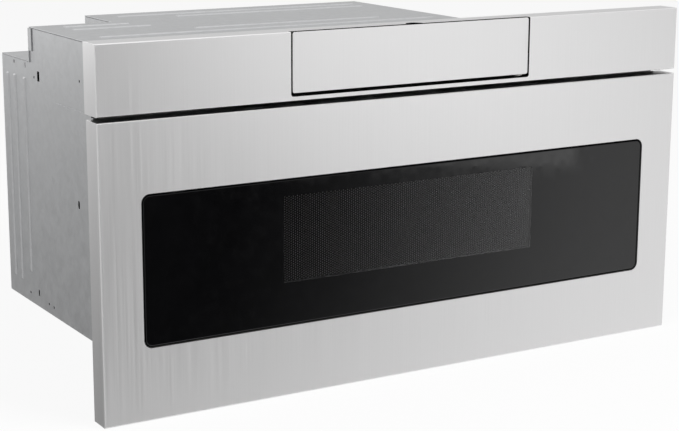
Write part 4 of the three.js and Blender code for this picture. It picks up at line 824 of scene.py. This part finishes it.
def studio(world):
    """White for the camera, the glows and the dark wall for mirrors, plain grey light for the rest."""
    n = Nodes(world)
    n.tree.nodes.clear()
    direction = n.add("ShaderNodeTexCoord").outputs["Generated"]

    def towards(axis, vector=direction):
        inputs = {0: vector, 1: axis}
        return n.add("ShaderNodeVectorMath", inputs, operation="DOT_PRODUCT").outputs["Value"]

    level = STUDIO_BASE
    for axis, sharpness, strength in STUDIO_GLOWS:
        fall = n.math("MULTIPLY", n.math("SUBTRACT", towards(axis), 1.0), sharpness)
        level = n.math("MULTIPLY_ADD", n.math("EXPONENT", fall), strength, level)
    spent = n.math("EXPONENT", n.math("DIVIDE", level, -STUDIO_WHITE))
    level = n.math("MULTIPLY", n.math("SUBTRACT", 1.0, spent), STUDIO_WHITE)
    axis, inner, outer, left, flatness = DARK_WALL
    stretch = Vector((1, 1, flatness))
    place = n.add("ShaderNodeVectorMath", {0: direction, 1: stretch}, operation="MULTIPLY")
    place = n.add("ShaderNodeVectorMath", {0: place.outputs[0]}, operation="NORMALIZE")
    inputs = {
        "Value": towards((axis * stretch).normalized(), place.outputs[0]),
        "From Min": math.cos(math.radians(outer)),
        "From Max": math.cos(math.radians(inner)),
        "To Min": 1.0,
        "To Max": left,
    }
    wall = n.add("ShaderNodeMapRange", inputs, interpolation_type="SMOOTHSTEP")
    level = n.math("MULTIPLY", level, wall.outputs["Result"])
    path = n.add("ShaderNodeLightPath")
    mirrored = n.math("MAXIMUM", path.outputs["Is Glossy Ray"], path.outputs["Is Transmission Ray"])
    lighting = n.add("ShaderNodeBackground", {"Color": (1, 1, 1, 1), "Strength": AMBIENT})
    reflected = n.add("ShaderNodeBackground", {"Color": (1, 1, 1, 1), "Strength": level})
    white = n.add("ShaderNodeBackground", {"Color": (1, 1, 1, 1), "Strength": 1.0})
    indirect = n.add("ShaderNodeMixShader", {0: mirrored})
    n.tree.links.new(lighting.outputs[0], indirect.inputs[1])
    n.tree.links.new(reflected.outputs[0], indirect.inputs[2])
    whole = n.add("ShaderNodeMixShader", {0: path.outputs["Is Camera Ray"]})
    n.tree.links.new(indirect.outputs[0], whole.inputs[1])
    n.tree.links.new(white.outputs[0], whole.inputs[2])
    n.add("ShaderNodeOutputWorld", {"Surface": whole.outputs[0]})


bpy.context.scene.view_settings.view_transform = "Standard"
world = bpy.data.worlds.new("studio")
world.cycles.sampling_method = "NONE"
bpy.context.scene.world = world
studio(world)

FLOOR_HALF = 12.0  # in metres
FLOOR_DROP = 0.2  # in mm, so that the floor and the underside don't lie in one plane
FLOOR_WHITE = 0.88  # the share of plain white in what the camera sees; the rest takes the shadow


def floor():
    mesh = bpy.data.meshes.new("floor")
    half = FLOOR_HALF
    corners = [(-half, -half, 0), (half, -half, 0), (half, half, 0), (-half, half, 0)]
    mesh.from_pydata(corners, [], [(0, 1, 2, 3)])
    plane = bpy.data.objects.new("floor", mesh)
    bpy.context.scene.collection.objects.link(plane)
    plane.location.z = -FLOOR_DROP * MM
    plane.visible_glossy = False
    plane.visible_transmission = False
    material = bpy.data.materials.new("floor")
    n = Nodes(material)
    n.tree.nodes.clear()
    path = n.add("ShaderNodeLightPath")
    paper = n.add("ShaderNodeBsdfDiffuse", {"Color": (0.86, 0.86, 0.86, 1)})
    white = n.add("ShaderNodeEmission", {"Color": (1, 1, 1, 1), "Strength": 1.0})
    seen = n.math("MULTIPLY", path.outputs["Is Camera Ray"], FLOOR_WHITE)
    mix = n.add("ShaderNodeMixShader", {0: seen})
    n.tree.links.new(paper.outputs[0], mix.inputs[1])
    n.tree.links.new(white.outputs[0], mix.inputs[2])
    output = n.add("ShaderNodeOutputMaterial")
    n.tree.links.new(mix.outputs[0], output.inputs["Surface"])
    mesh.materials.append(material)


floor()

LAMP_POWER = 4.0  # watts for each unit of strength


def softbox(name, place, target, size, strength, mirrored):
    """A square lamp; its strength is its radiance times its area in m2."""
    light = bpy.data.lights.new(name, "AREA")
    light.shape = "SQUARE"
    light.size = size
    light.energy = strength * LAMP_POWER
    lamp = bpy.data.objects.new(name, light)
    aim = (Vector(target) - Vector(place)).to_track_quat("-Z", "Y")
    lamp.matrix_world = Matrix.LocRotScale(Vector(place), aim, None)
    lamp.visible_camera = False
    lamp.visible_glossy = mirrored
    bpy.context.scene.collection.objects.link(lamp)


MIDDLE = at(0, 250, 200)
softbox("front_right", at(1180, -1870, 260), MIDDLE, 0.9, 0.42, True)
softbox("front_middle", at(680, -1870, 290), MIDDLE, 0.6, 0.17, True)
softbox("back_left", at(-780, 1220, 520), MIDDLE, 0.5, 0.2, True)
softbox("key", at(1200, -1900, 2300), MIDDLE, 1.8, 14.0, False)
softbox("fill", at(-2300, -900, 1600), MIDDLE, 1.6, 6.0, False)
